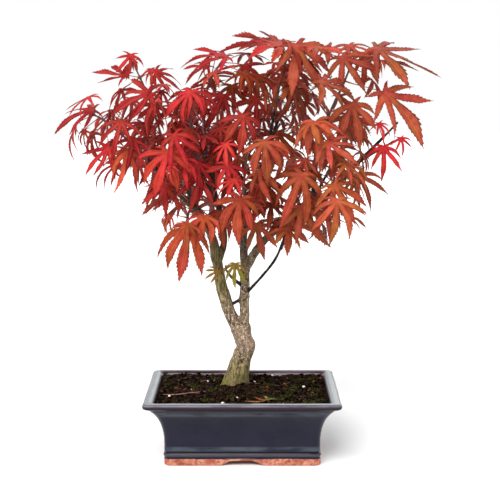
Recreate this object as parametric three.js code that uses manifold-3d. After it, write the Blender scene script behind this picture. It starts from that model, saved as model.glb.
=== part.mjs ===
// A red Japanese maple grown as a bonsai, in its rectangular glazed pot.
// Millimetres, +Z up, the viewer of the photograph stands on the -Y side.
// The tree is planned from the middle of the pot; the whole object is centred on the origin at the end.

import * as THREE from 'three';
import { mergeVertices } from 'three/addons/utils/BufferGeometryUtils.js';
import Module from 'manifold-3d';

const wasm = await Module();
wasm.setup();

// Driving dimensions

const potWidth = 190;
const potDepth = 140;
const potCorner = 6;
const potFloor = 12;
const cornerSteps = 3;
const seatGap = 0.35; // clearance between pieces that touch

// Walls of the pot: height above the ground, and setback from the outer edge of the rim.
const outerWall = [
  [0, 20], [8, 19], [27, 19.2], [37, 17.6], [44, 15.4], [51, 11.6],
  [56, 7], [60.5, 1], [62, 0], [65, 0], [66, 1],
];
const innerWall = [[66, 8], [65, 9.2], [61, 10.4], [50, 19.4], [38, 25], [potFloor, 27]];

const footWidth = 9;
const footRecess = 5;
const archWidth = 46;
const archHeight = 4.8;
const archPull = (4 / 3) * archHeight; // height of the curve's two guide points
const archSteps = 8;
const drainRadius = 7;
const drainSides = 16;
const drainOffset = 36; // from the middle, along the pot

const screenSize = 24;
const screenThickness = 1.2;
const slotLength = 18;
const slotWidth = 3;
const slotPitch = 6.5;

const soilEdge = 59.8;
const soilMound = 66; // height where the soil meets the trunk
const soilGap = 0.45; // from the pot's wall
const soilSteps = [0.14, 0.36, 0.62, 0.86, 1]; // parts of the way from the wall to the mound
const moundRadius = 17;
const soilBump = 0.9;
const trunkFoot = [-7, 8]; // x and y of the trunk where it leaves the soil

const spurBaseRadius = 2.1;
const spurRadius = 1.5;
const twigTipRadius = 0.8;
const stalkRadius = 0.6;
const twigSides = 4;

const glaze = 0x2b2c3a;
const screenBlack = 0x2a2a28;
const darkSoil = 0x2c1d15;
const bark = 0x8f765c;
const crimson = 0xc4293a;
const vermilion = 0xc0452f;
const russet = 0xa8502e;
const yellowGreen = 0x9a8a35;

// Wood of the tree: each limb is a route with a radius at each of its points.

const limbs = [
  {
    // root stub, flared foot and bent lower trunk, up to the fork
    sides: 9,
    route: [[-7, 8, 28], [-7, 8, 56], [-7, 8, 66], [-5, 8, 78], [-1, 7, 93], [3.5, 6, 105],
      [1, 6, 114], [-2, 6, 123], [-4, 6, 131]],
    radii: [6, 11.6, 13.4, 11.6, 9.6, 8.6, 9.4, 10.2, 8.6],
  },
  {
    // left stem, running on as the limb to the left
    sides: 7,
    route: [[-3, 6, 118], [-7, 6, 129], [-12, 6, 138], [-17, 5, 153], [-21, 4, 168], [-22.5, 4, 178],
      [-25, 4, 192], [-30, 0, 218], [-41, -4, 239], [-48, -6, 249], [-68, -10, 266], [-78, -14, 281]],
    radii: [7, 6.6, 6.3, 6, 5.8, 5.2, 5.4, 4.4, 3.9, 3.6, 3, 2.4],
  },
  {
    sides: 5,
    route: [[-25, 4, 190], [-18, 10, 212], [-22, 20, 237], [-30, 28, 266], [-37, 28, 290]],
    radii: [4, 3.4, 3, 2.6, 2.1],
  },
  {
    // right stem
    sides: 7,
    route: [[-1, 6, 118], [0, 5, 128], [1.8, 4, 137], [1.6, 3, 150], [2.2, 2, 170], [3, 2, 188], [4, 2, 195]],
    radii: [6, 5.6, 5, 4.9, 4.9, 5, 4.2],
  },
  {
    sides: 5,
    route: [[3, 2, 184], [1, 6, 210], [5, 10, 238], [15, 12, 268], [24, 12, 302]],
    radii: [4.4, 3.6, 3, 2.6, 2.1],
  },
  {
    sides: 5,
    route: [[3, 2, 184], [13, -4, 203], [20, -8, 213], [41, -14, 233], [67, -14, 250], [93, -8, 266]],
    radii: [4.4, 4.3, 3.8, 3.2, 2.8, 2.1],
  },
  {
    // bare broken twig that points up to the right
    sides: 5,
    route: [[88, -9, 263], [110, -8, 289], [129, -10, 308], [150, -12, 330]],
    radii: [2, 1.8, 1.6, 1.1],
  },
  {
    // thin branch that bows out to the right of the right stem
    sides: 5,
    route: [[3, 2, 160], [13, -8, 172], [26, -18, 189], [33, -22, 200], [37, -26, 210]],
    radii: [1.7, 1.6, 1.5, 1.4, 1.4],
  },
  {
    // dead stub between the stems
    sides: 5,
    route: [[2, 3, 146], [-5, 2, 152], [-8, 2, 154]],
    radii: [2, 1.5, 1],
  },
];

// Leafy sprays: a spur of the wood ends at the first point of the twig, and the twig carries the leaves.
// The spur is given by the points before its tip.

const sprays = [
  { name: 'spray_far_left', colour: crimson, leaves: 8, spur: [[-76, -13, 278]],
    twig: [[-92, -18, 296], [-109, -22, 313], [-130, -26, 331], [-142, -25, 338]] },
  { name: 'spray_left_top', colour: crimson, leaves: 8, spur: [[-66, -10, 264]],
    twig: [[-72, -2, 293], [-84, 4, 332], [-94, 6, 360], [-104, 8, 382]] },
  { name: 'spray_left_front', colour: crimson, leaves: 7, spur: [[-47, -6, 248]],
    twig: [[-53, -38, 270], [-58, -58, 288], [-63, -76, 306], [-66, -84, 322]] },
  { name: 'spray_left_low', colour: vermilion, leaves: 4, spur: [[-41, -4, 239]],
    twig: [[-46, -26, 244], [-49, -44, 248], [-50, -60, 246], [-51, -68, 241]] },
  { name: 'spray_left_back', colour: crimson, leaves: 8, spur: [[-66, -9, 264]],
    twig: [[-84, 22, 277], [-104, 48, 300], [-124, 66, 318], [-134, 72, 328]] },
  { name: 'spray_left_middle', colour: crimson, leaves: 8, spur: [[-22, 20, 237], [-32, 2, 264]],
    twig: [[-40, -14, 284], [-44, -34, 310], [-48, -46, 330], [-53, -52, 346]] },
  { name: 'spray_top_left', colour: crimson, leaves: 8, spur: [[-37, 28, 288]],
    twig: [[-36, 25, 312], [-38, 15, 342], [-31, 4, 370], [-20, -4, 387]] },
  { name: 'spray_centre_back', colour: crimson, leaves: 7, spur: [[-29, 27, 264]],
    twig: [[-30, 52, 288], [-36, 76, 314], [-32, 90, 334]] },
  { name: 'spray_low_back', colour: vermilion, leaves: 6, spur: [[-41, -4, 239]],
    twig: [[-46, 30, 248], [-54, 54, 256], [-62, 72, 262]] },
  { name: 'spray_centre_front', colour: vermilion, leaves: 7, spur: [[5, 10, 238]],
    twig: [[3, -28, 256], [2, -54, 274], [4, -72, 296], [8, -80, 316]] },
  { name: 'spray_top', colour: vermilion, leaves: 7, spur: [[24, 12, 300]],
    twig: [[32, 6, 342], [36, 2, 366], [42, -6, 388], [49, -12, 397]] },
  { name: 'spray_top_back', colour: vermilion, leaves: 5, spur: [[24, 12, 300]],
    twig: [[36, 40, 330], [48, 58, 352], [60, 68, 370]] },
  { name: 'spray_back', colour: vermilion, leaves: 6, spur: [[15, 12, 267]],
    twig: [[19, 42, 281], [28, 68, 304], [38, 86, 324]] },
  { name: 'spray_top_right', colour: vermilion, leaves: 9, spur: [[67, -14, 249], [71, -10, 282]],
    twig: [[73, -5, 312], [86, -8, 342], [98, -12, 369], [106, -12, 390]] },
  { name: 'spray_right_front', colour: russet, leaves: 7, spur: [[58, -14, 244]],
    twig: [[64, -36, 276], [68, -56, 300], [70, -68, 322], [80, -66, 340]] },
  { name: 'spray_right', colour: crimson, leaves: 3, spur: [[108, -8, 287]],
    twig: [[118, -14, 296], [130, -20, 303], [144, -15, 311]] },
  { name: 'spray_right_low', colour: russet, leaves: 6, spur: [[66, -14, 250]],
    twig: [[72, -34, 258], [78, -54, 266], [80, -70, 272], [76, -80, 277]] },
  { name: 'spray_right_back', colour: russet, leaves: 7, spur: [[66, -14, 250]],
    twig: [[84, 28, 276], [100, 54, 300], [116, 72, 320]] },
  { name: 'spray_right_low_back', colour: russet, leaves: 6, spur: [[20, -8, 213]],
    twig: [[40, 24, 232], [58, 44, 242], [74, 60, 250]] },
  { name: 'spray_low_centre', colour: russet, leaves: 5, spur: [[37, -26, 208]],
    twig: [[42, -30, 225], [45, -40, 234], [48, -54, 244], [49, -62, 249]] },
  { name: 'spray_stem', colour: yellowGreen, leaves: 2, spur: [[2, 2, 166]],
    twig: [[-11, -7, 178], [-15, -10, 184], [-16, -11, 188]] },
];

// Leaves that the photograph shows plainly. Angles in degrees, sizes in millimetres.
// heading: direction of the middle lobe across the view, 0 to the right and 90 up.
// lean: how far that lobe points at the viewer. turn: roll about it, 0 with the upper face to the viewer.
// bend: how far the lobe curls down along its length.

function leaf(spray, hub, heading, lean, turn, size, bend) {
  return { spray, hub, heading, lean, turn, size, bend };
}

const shownLeaves = [
  leaf('spray_far_left', [-111, -58, 332], -104, 30, 10, 40, 30),
  leaf('spray_far_left', [-142, -22, 342], -166, 5, 60, 44, 20),
  leaf('spray_far_left', [-128, -22, 306], -138, 0, 40, 46, 15),
  leaf('spray_far_left', [-108, -42, 304], -98, 6, 0, 42, 25),
  leaf('spray_left_top', [-87, -25, 358], -160, 25, 40, 44, 40),
  leaf('spray_left_top', [-108, 6, 394], -92, 10, -20, 25, 10),
  leaf('spray_left_top', [-87, -12, 380], -84, 20, 10, 20, 15),
  leaf('spray_left_top', [-84, 14, 378], -36, 5, -50, 34, 10),
  leaf('spray_left_top', [-113, 14, 375], 176, -5, 60, 34, 12),
  leaf('spray_left_front', [-66, -94, 305], -108, 15, 5, 46, 30),
  leaf('spray_left_front', [-60, -98, 321], -66, 20, -15, 34, 45),
  leaf('spray_left_low', [-49, -78, 234], -100, 10, 0, 50, 25),
  leaf('spray_top_left', [-15, -18, 392], 174, 10, 70, 52, 20),
  leaf('spray_top_left', [-34, -2, 384], -154, 20, 50, 40, 30),
  leaf('spray_top', [52, -22, 402], -62, 15, -30, 56, 15),
  leaf('spray_top', [38, -6, 404], 177, 12, 72, 62, 12),
  leaf('spray_top', [43, 12, 407], 172, -14, 76, 52, 16),
  leaf('spray_top_right', [127, -20, 400], -22, 12, -60, 64, 12),
  leaf('spray_top_right', [135, -26, 358], -42, 8, -42, 62, 12),
  leaf('spray_top_right', [94, -34, 391], -55, 20, -15, 42, 20),
  leaf('spray_top_right', [119, 4, 394], -60, -10, -20, 36, 15),
  leaf('spray_top_right', [80, 0, 398], 8, 10, -70, 44, 20),
  leaf('spray_right_front', [67, -80, 331], -78, 20, -5, 46, 25),
  leaf('spray_right_front', [101, -66, 348], -76, 15, -15, 44, 20),
  leaf('spray_right', [134, -30, 307], -88, 15, 0, 34, 15),
  leaf('spray_right', [152, -18, 315], -72, 10, -10, 20, 20),
  leaf('spray_right', [110, -36, 281], -60, 20, -20, 38, 20),
  leaf('spray_right_low', [54, -88, 285], -112, 15, 10, 54, 25),
  leaf('spray_right_low', [83, -92, 276], -58, 15, -15, 46, 25),
  leaf('spray_centre_front', [-1, -86, 263], -100, 20, 0, 42, 30),
  leaf('spray_low_centre', [14, -54, 236], -80, 20, 0, 36, 25),
  leaf('spray_low_centre', [55, -68, 254], -62, -4, -15, 48, 15),
  leaf('spray_low_centre', [45, -50, 240], -94, 0, 5, 38, 15),
  leaf('spray_stem', [-7, -14, 192], -95, 20, 20, 18, 15),
  leaf('spray_stem', [-24, -15, 186], -150, 20, 20, 16, 20),
];

// Lobes of a leaf blade, as parts of the middle lobe's length. The two at the base have no shoulders.

const lobeTurns = [-122, -75, -37, 0, 37, 75, 122];
const lobeLengths = [0.36, 0.74, 0.93, 1, 0.93, 0.74, 0.36];
const lobeShoulder = 0.5; // where a lobe is widest, along its length
const lobeWidth = 0.25; // of its own length
const notchDepths = [0.15, 0.24, 0.27, 0.27, 0.24, 0.15]; // from the hub, between neighbouring lobes
const bladeThickness = 0.8;
const baseReach = 1.5; // the blade's base, behind the hub
const baseHalfWidth = 0.8;

// The canopy's other leaves are placed by rule, with a seeded draw for each. Angles in degrees.

const drawSeed = 13;
const seedStep = 7919;
const draws = 160; // places tried for a leaf
const mostShrink = 0.3; // of a leaf's size, by the last try
const leavesAtMost = 20; // on one spray
const leafSizes = [34, 50];
const leafBends = [12, 42];
const leafRoll = 35;
const leafSwing = 60; // round the tree, either way from straight outward
const topLevel = 365; // above it the leaves lie flatter
const drops = [15, 85]; // of the middle lobe, below level
const topDrops = [0, 45];
const canopyCore = [0, 0, 285];

const firstStation = 0.18; // parts of a twig's length
const stationSpan = 0.8;
const lastStation = 0.97;
const loneStation = 0.5;
const stationTwist = 70; // from one pair of stalks to the next
const stalkLengths = [15, 34];
const shownStalkLength = 0.45; // of the leaf's size
const stalkSwing = 70; // round the twig, either way
const forwardPull = [0, 0.7]; // towards the twig's tip
const outwardPull = [0.1, 0.9]; // away from the canopy's core

const bladeClearance = 10; // from the leaves of another spray
const ownClearance = 9; // from the leaves of its own spray
const woodClearance = 5;

// Outline of the canopy, with the bare stems below it
const canopyLowest = 196;
const lowestRiseLeft = 0.42;
const lowestRiseRight = 0.2;
const canopyTop = 404;
const leftTop = 364;
const leftTopEdge = -48;
const canopyLeft = -166;
const canopyRight = 168;
const lowRight = 124;
const lowRightTop = 300;
const canopyReach = 118; // to the front and to the back

const degrees = Math.PI / 180;

let seed = drawSeed;
function startDraws(number) {
  seed = drawSeed + number * seedStep;
}

function draw() {
  seed = (seed * 1664525 + 1013904223) % 4294967296;
  return seed / 4294967296;
}

function between(low, high) {
  return low + (high - low) * draw();
}

function vector(point) {
  return new THREE.Vector3(point[0], point[1], point[2]);
}

// Closed bodies from points and triangles, and their joins and cuts

function body(points, triangles) {
  const geometry = new THREE.BufferGeometry();
  const positions = points.flatMap((p) => [p.x, p.y, p.z]);
  geometry.setAttribute('position', new THREE.Float32BufferAttribute(positions, 3));
  geometry.setIndex(triangles.flat());
  return geometry;
}

function solid(geometry) {
  const bare = geometry.clone();
  bare.deleteAttribute('normal');
  bare.deleteAttribute('uv');
  const merged = mergeVertices(bare, 1e-4);
  return new wasm.Manifold(new wasm.Mesh({
    numProp: 3,
    vertProperties: new Float32Array(merged.attributes.position.array),
    triVerts: new Uint32Array(merged.index.array),
  }));
}

function surface(manifold) {
  const mesh = manifold.getMesh();
  const geometry = new THREE.BufferGeometry();
  geometry.setAttribute('position', new THREE.BufferAttribute(mesh.vertProperties, 3));
  geometry.setIndex(new THREE.BufferAttribute(mesh.triVerts, 1));
  return geometry;
}

function joined(geometries) {
  return geometries.map(solid).reduce((whole, piece) => whole.add(piece));
}

// Skin over a row of rings with equal numbers of points, closed by a flat cap at both ends.
function loft(rings) {
  const count = rings[0].length;
  const points = rings.flat();
  const triangles = [];
  for (let r = 0; r + 1 < rings.length; r++) {
    for (let i = 0; i < count; i++) {
      const a = r * count + i;
      const b = r * count + ((i + 1) % count);
      triangles.push([a, b, b + count], [a, b + count, a + count]);
    }
  }
  const last = (rings.length - 1) * count;
  for (let i = 1; i + 1 < count; i++) {
    triangles.push([0, i + 1, i], [last, last + i, last + i + 1]);
  }
  return body(points, triangles);
}

// Tapered round limb along a route. The first ring can be turned to face another limb's end.
function limbBody(route, radii, sides, firstFacing) {
  const points = route.map(vector);
  const rings = [];
  let across = new THREE.Vector3(0.31, 0.95, 0.05);
  points.forEach((centre, i) => {
    const before = points[Math.max(i - 1, 0)];
    const after = points[Math.min(i + 1, points.length - 1)];
    const along = i === 0 && firstFacing ? firstFacing.clone() : after.clone().sub(before);
    along.normalize();
    across = across.clone().addScaledVector(along, -across.dot(along)).normalize();
    const other = along.clone().cross(across);
    const ring = [];
    for (let k = 0; k < sides; k++) {
      const angle = (2 * Math.PI * k) / sides;
      ring.push(centre.clone()
        .addScaledVector(across, radii[i] * Math.cos(angle))
        .addScaledVector(other, radii[i] * Math.sin(angle)));
    }
    rings.push(ring);
  });
  return loft(rings);
}

// Pot

function roundedRing(setback, height) {
  const halfX = potWidth / 2 - setback;
  const halfY = potDepth / 2 - setback;
  const corners = [[1, 1, 0], [-1, 1, 90], [-1, -1, 180], [1, -1, 270]];
  const ring = [];
  for (const [sideX, sideY, start] of corners) {
    for (let k = 0; k <= cornerSteps; k++) {
      const angle = (start + (90 * k) / cornerSteps) * degrees;
      ring.push(new THREE.Vector3(
        sideX * (halfX - potCorner) + potCorner * Math.cos(angle),
        sideY * (halfY - potCorner) + potCorner * Math.sin(angle),
        height,
      ));
    }
  }
  return ring;
}

function potBody() {
  const wall = [...outerWall, ...innerWall];
  const whole = loft(wall.map(([height, setback]) => roundedRing(setback, height)));
  const footSetback = outerWall[0][1] + footWidth;
  const recess = loft([roundedRing(footSetback, -1), roundedRing(footSetback, footRecess)]);

  const archShape = new THREE.Shape();
  archShape.moveTo(-archWidth / 2, -1);
  archShape.lineTo(archWidth / 2, -1);
  archShape.lineTo(archWidth / 2, 0);
  archShape.bezierCurveTo(archWidth / 4, archPull, -archWidth / 4, archPull, -archWidth / 2, 0);
  const arch = new THREE.ExtrudeGeometry(archShape, {
    depth: potDepth,
    bevelEnabled: false,
    curveSegments: archSteps,
  });
  arch.rotateX(Math.PI / 2);
  arch.translate(0, potDepth / 2, 0);

  let pot = solid(whole).subtract(solid(recess)).subtract(solid(arch));
  for (const side of [-1, 1]) {
    const drain = new THREE.CylinderGeometry(drainRadius, drainRadius, 2 * potFloor, drainSides);
    drain.rotateX(Math.PI / 2);
    drain.translate(side * drainOffset, 0, potFloor);
    pot = pot.subtract(solid(drain));
  }
  return surface(pot);
}

function drainageScreen() {
  let plate = solid(new THREE.BoxGeometry(screenSize, screenSize, screenThickness));
  for (const row of [-1, 0, 1]) {
    const slot = new THREE.BoxGeometry(slotLength, slotWidth, 2 * screenThickness);
    slot.translate(0, row * slotPitch, 0);
    plate = plate.subtract(solid(slot));
  }
  return surface(plate);
}

// Soil, with the plain hole that the trunk stands in

function innerSetback(height) {
  const above = innerWall.findIndex(([level]) => level <= height);
  const [high, highSetback] = innerWall[above - 1];
  const [low, lowSetback] = innerWall[above];
  return lowSetback + ((highSetback - lowSetback) * (height - low)) / (high - low);
}

function soilBody() {
  const bottom = potFloor + screenThickness + 2 * seatGap;
  const levels = [bottom, 38, 50, soilEdge];
  const rings = levels.map((height) => roundedRing(innerSetback(height) + soilGap, height));
  const edge = rings[rings.length - 1];
  for (const inward of soilSteps) {
    rings.push(edge.map((p) => {
      const angle = Math.atan2(p.y, p.x);
      const x = trunkFoot[0] + moundRadius * Math.cos(angle);
      const y = trunkFoot[1] + moundRadius * Math.sin(angle);
      const rise = (soilMound - soilEdge) * inward * inward + soilBump * (2 * draw() - 1);
      return new THREE.Vector3(p.x + (x - p.x) * inward, p.y + (y - p.y) * inward, soilEdge + rise);
    }));
  }
  const { route, radii, sides } = limbs[0];
  const holeRadii = radii.map((radius) => radius + seatGap);
  const holeRoute = route.map(([x, y, z], i) => [x, y, i === 0 ? z - seatGap : z]);
  return surface(solid(loft(rings)).subtract(solid(limbBody(holeRoute, holeRadii, sides))));
}

// Trunk, stems, limbs and the spurs that carry the sprays

function spurFacing({ spur, twig }) {
  return vector(twig[0]).sub(vector(spur[spur.length - 1])).normalize();
}

function trunkBody() {
  const wood = limbs.map(({ route, radii, sides }) => limbBody(route, radii, sides));
  for (const spray of sprays) {
    const route = [...spray.spur, spray.twig[0]];
    const radii = route.map((_, i) => (i + 1 === route.length ? spurRadius : spurBaseRadius));
    wood.push(limbBody(route, radii, twigSides));
  }
  return surface(joined(wood));
}

// One leaf: where its hub is, the way its middle lobe starts off, its upper face and its own sideways.

function leafFrame(hub, axis, normal) {
  const face = normal.clone().addScaledVector(axis, -normal.dot(axis)).normalize();
  return { hub, axis, face, side: face.clone().cross(axis) };
}

function turned(normal, axis, angle) {
  const across = axis.clone().cross(normal);
  return normal.clone().multiplyScalar(Math.cos(angle)).addScaledVector(across, Math.sin(angle));
}

function shownFrame({ hub, heading, lean, turn }) {
  const across = heading * degrees;
  const out = lean * degrees;
  const axis = new THREE.Vector3(
    Math.cos(across) * Math.cos(out), -Math.sin(out), Math.sin(across) * Math.cos(out),
  );
  const toViewer = new THREE.Vector3(0, -1, 0);
  toViewer.addScaledVector(axis, -toViewer.dot(axis)).normalize();
  return leafFrame(vector(hub), axis, turned(toViewer, axis, turn * degrees));
}

// Point of a blade: a distance from the hub along a lobe, a step sideways off its midrib and a lift
// off the blade. Each lobe curls down along an arc, so it keeps its length.
function bladePoint(frame, size, bend, lobeTurn, distance, sideways, lift) {
  const curl = (bend * degrees * distance) / size;
  const radius = size / (bend * degrees);
  const out = radius * Math.sin(curl) + lift * Math.sin(curl);
  const drop = radius * (1 - Math.cos(curl)) - lift * Math.cos(curl);
  const angle = lobeTurn * degrees;
  return frame.hub.clone()
    .addScaledVector(frame.axis, out * Math.cos(angle) - sideways * Math.sin(angle))
    .addScaledVector(frame.side, out * Math.sin(angle) + sideways * Math.cos(angle))
    .addScaledVector(frame.face, -drop);
}

// Blade and stalk in one closed skin. Upper and lower faces meet in the sharp outline.
function leafBody({ frame, size, bend, station }) {
  const points = [];
  const triangles = [];
  const at = (turn, distance, sideways, lift) => {
    points.push(bladePoint(frame, size, bend, turn, distance, sideways, lift));
    return points.length - 1;
  };
  const half = bladeThickness / 2;
  const hubs = [at(0, 0, 0, half), at(0, 0, 0, -half)];
  const base = [at(180, baseReach, baseHalfWidth, 0), at(180, baseReach, -baseHalfWidth, 0)];
  const notches = notchDepths.map((depth, i) => (
    at((lobeTurns[i] + lobeTurns[i + 1]) / 2, depth * size, 0, 0)
  ));
  const last = lobeTurns.length - 1;

  lobeTurns.forEach((turn, i) => {
    const length = lobeLengths[i] * size;
    const tip = at(turn, length, 0, 0);
    const from = i === 0 ? base[0] : notches[i - 1];
    const to = i === last ? base[1] : notches[i];
    if (i === 0 || i === last) {
      triangles.push([hubs[0], from, tip], [hubs[0], tip, to], [hubs[1], tip, from], [hubs[1], to, tip]);
      return;
    }
    const wide = (lobeWidth * length) / 2;
    const right = at(turn, lobeShoulder * length, -wide, 0);
    const left = at(turn, lobeShoulder * length, wide, 0);
    [half, -half].forEach((lift, face) => {
      const rib = at(turn, lobeShoulder * length, 0, lift);
      const hub = hubs[face];
      const faces = [
        [hub, from, right], [hub, right, rib], [rib, right, tip],
        [rib, tip, left], [hub, rib, left], [hub, left, to],
      ];
      triangles.push(...faces.map(([a, b, c]) => (face === 0 ? [a, b, c] : [a, c, b])));
    });
  });
  triangles.push([hubs[0], base[1], base[0]]);

  // The stalk grows out of the open triangle under the hub and ends inside the twig.
  const start = [hubs[1], base[0], base[1]];
  const open = new THREE.Triangle(...start.map((corner) => points[corner]));
  const backward = open.getNormal(new THREE.Vector3());
  const down = points[hubs[1]].clone().sub(open.getMidpoint(new THREE.Vector3())).normalize();
  const along = station.clone().sub(frame.hub).normalize();
  down.applyQuaternion(new THREE.Quaternion().setFromUnitVectors(backward, along));
  const left = down.clone().cross(along);
  const end = [0, -120, 120].map((turn) => {
    points.push(station.clone()
      .addScaledVector(along, stalkRadius / 2)
      .addScaledVector(down, stalkRadius * Math.cos(turn * degrees))
      .addScaledVector(left, stalkRadius * Math.sin(turn * degrees)));
    return points.length - 1;
  });
  start.forEach((p, k) => {
    const q = start[(k + 1) % 3];
    triangles.push([p, q, end[(k + 1) % 3]], [p, end[(k + 1) % 3], end[k]]);
  });
  triangles.push(end);
  return body(points, triangles);
}

// Places along a twig

function alongTwig(twig, part) {
  const points = twig.map(vector);
  const steps = points.slice(1).map((point, i) => point.distanceTo(points[i]));
  let rest = part * steps.reduce((sum, step) => sum + step);
  for (let i = 0; i < steps.length; i++) {
    if (rest <= steps[i] || i + 1 === steps.length) {
      const direction = points[i + 1].clone().sub(points[i]).normalize();
      return { point: points[i].clone().addScaledVector(direction, Math.min(rest, steps[i])), direction };
    }
    rest -= steps[i];
  }
  return undefined;
}

// Sample points that stand for a leaf and for wood when clearances are worked out

const lobeSamples = [0.25, 0.45, 0.65, 0.85, 1];
const stalkParts = [0.25, 0.5, 0.75];
const woodSampleStep = 6;

function bladeSamples({ frame, size, bend }) {
  const samples = [frame.hub];
  for (let i = 1; i + 1 < lobeTurns.length; i++) {
    for (const part of lobeSamples) {
      samples.push(bladePoint(frame, size, bend, lobeTurns[i], part * lobeLengths[i] * size, 0, 0));
    }
  }
  return samples;
}

function stalkSamples({ frame, station }) {
  return stalkParts.map((part) => frame.hub.clone().lerp(station, part));
}

function routeSamples(route, radii) {
  const samples = [];
  for (let i = 0; i + 1 < route.length; i++) {
    const start = vector(route[i]);
    const end = vector(route[i + 1]);
    const count = Math.ceil(start.distanceTo(end) / woodSampleStep);
    for (let k = 0; k < count; k++) {
      const part = k / count;
      const radius = radii[i] + (radii[i + 1] - radii[i]) * part;
      samples.push({ point: start.clone().lerp(end, part), radius });
    }
  }
  return samples;
}

// How far a point lies outside the canopy's outline
function outsideCanopy({ x, y, z }) {
  const lowest = canopyLowest + (x < 0 ? -lowestRiseLeft * x : lowestRiseRight * x);
  const highest = x < leftTopEdge ? leftTop : canopyTop;
  const furthestRight = z < lowRightTop ? lowRight : canopyRight;
  return Math.max(lowest - z, z - highest, x - furthestRight, canopyLeft - x, Math.abs(y) - canopyReach, 0);
}

const placedLeaves = [];
const bladePoints = [];
const woodPoints = [];

function keepLeaf(leafPlan) {
  placedLeaves.push(leafPlan);
  for (const point of bladeSamples(leafPlan)) {
    bladePoints.push({ point, owner: leafPlan.spray });
  }
  for (const point of stalkSamples(leafPlan)) {
    woodPoints.push({ point, radius: stalkRadius, owner: leafPlan.spray });
  }
}

// Room left round a leaf after its clearances, less what lies outside the canopy
function room(leafPlan) {
  const blade = bladeSamples(leafPlan);
  const stalk = stalkSamples(leafPlan);
  let least = Infinity;
  for (const sample of blade) {
    for (const { point, owner } of bladePoints) {
      const wanted = owner === leafPlan.spray ? ownClearance : bladeClearance;
      least = Math.min(least, sample.distanceTo(point) - wanted);
    }
    for (const { point, radius } of woodPoints) {
      least = Math.min(least, sample.distanceTo(point) - radius - woodClearance);
    }
    least = Math.min(least, -outsideCanopy(sample));
  }
  for (const sample of stalk) {
    for (const { point } of bladePoints) {
      least = Math.min(least, sample.distanceTo(point) - woodClearance);
    }
    for (const { point, radius, owner } of woodPoints) {
      if (owner !== leafPlan.spray) {
        least = Math.min(least, sample.distanceTo(point) - radius - woodClearance);
      }
    }
  }
  return least;
}

// The place on a twig whose distance from a leaf's hub is nearest to the wanted one
const stationSteps = 20;
const leastStep = 2;

function nearestStation(twig, hub, wanted) {
  let best;
  for (let step = leastStep; step <= stationSteps; step++) {
    const { point } = alongTwig(twig, step / stationSteps);
    const miss = Math.abs(point.distanceTo(hub) - wanted);
    if (!best || miss < best.miss) {
      best = { point, miss };
    }
  }
  return best.point;
}

// One try at a place for a leaf that grows from this station. Later tries are for smaller leaves.
function leafTry(spray, station, direction, sideAngle, shrink) {
  const up = new THREE.Vector3(0, 0, 1);
  const level = direction.clone().cross(up).normalize();
  const steep = level.clone().cross(direction);
  const angle = (sideAngle + between(-stalkSwing, stalkSwing)) * degrees;
  const outward = station.clone().sub(vector(canopyCore)).normalize();
  const stalk = level.clone().multiplyScalar(Math.cos(angle))
    .addScaledVector(steep, Math.sin(angle))
    .addScaledVector(direction, between(...forwardPull))
    .addScaledVector(outward, between(...outwardPull))
    .normalize();
  const hub = station.clone().addScaledVector(stalk, between(...stalkLengths));

  const away = new THREE.Vector3(hub.x, hub.y, 0).normalize();
  const swing = between(-leafSwing, leafSwing) * degrees;
  const facing = turned(away, up, swing);
  const drop = between(...(hub.z > topLevel ? topDrops : drops)) * degrees;
  const axis = facing.clone().multiplyScalar(Math.cos(drop)).addScaledVector(up, -Math.sin(drop));
  const levelFace = up.clone().addScaledVector(axis, -up.dot(axis)).normalize();
  const frame = leafFrame(hub, axis, turned(levelFace, axis, between(-leafRoll, leafRoll) * degrees));
  const size = between(...leafSizes) * shrink;
  return { spray: spray.name, frame, size, bend: between(...leafBends), station };
}

// The stalk must come from under the blade, or from behind it between the lobes at its base.
const leastUnder = 0.25; // cosines of the angles to the leaf's upper face and to its middle lobe
const leastBehind = 0.65;
const mostAbove = -0.1;

function stalkBehind({ frame, station }) {
  const back = frame.hub.clone().sub(station).normalize();
  const rise = back.dot(frame.face);
  return rise > leastUnder || (back.dot(frame.axis) > leastBehind && rise > mostAbove);
}

function placeLeaves() {
  for (const { route, radii } of limbs) {
    woodPoints.push(...routeSamples(route, radii));
  }
  for (const { name, spur, twig } of sprays) {
    woodPoints.push(...routeSamples([...spur, twig[0]], [...spur, 0].map(() => spurRadius)));
    woodPoints.push(...routeSamples(twig, twig.map(() => 1)).map((sample) => ({ ...sample, owner: name })));
  }
  for (const shown of shownLeaves) {
    const { twig } = sprays.find(({ name }) => name === shown.spray);
    const frame = shownFrame(shown);
    const station = nearestStation(twig, frame.hub, shownStalkLength * shown.size);
    keepLeaf({ spray: shown.spray, frame, size: shown.size, bend: shown.bend, station });
  }
  sprays.forEach((spray, sprayNumber) => {
    const already = shownLeaves.filter((shown) => shown.spray === spray.name).length;
    const wanted = spray.leaves - already;
    const lastPair = Math.max(Math.floor((wanted - 1) / 2), 1);
    for (let i = 0; i < wanted; i++) {
      const pair = Math.floor(i / 2);
      const part = wanted < 2 ? loneStation : firstStation + (stationSpan * pair) / lastPair;
      const { point, direction } = alongTwig(spray.twig, Math.min(part, lastStation));
      const sideAngle = (i % 2) * 180 + pair * stationTwist;
      let best;
      startDraws(sprayNumber * leavesAtMost + i);
      for (let k = 0; k < draws; k++) {
        const candidate = leafTry(spray, point, direction, sideAngle, 1 - (mostShrink * k) / draws);
        if (!stalkBehind(candidate)) {
          continue;
        }
        const space = room(candidate);
        if (!best || space > best.space) {
          best = { candidate, space };
        }
        if (space >= 0) {
          break;
        }
      }
      keepLeaf(best.candidate);
    }
  });
}

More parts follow.
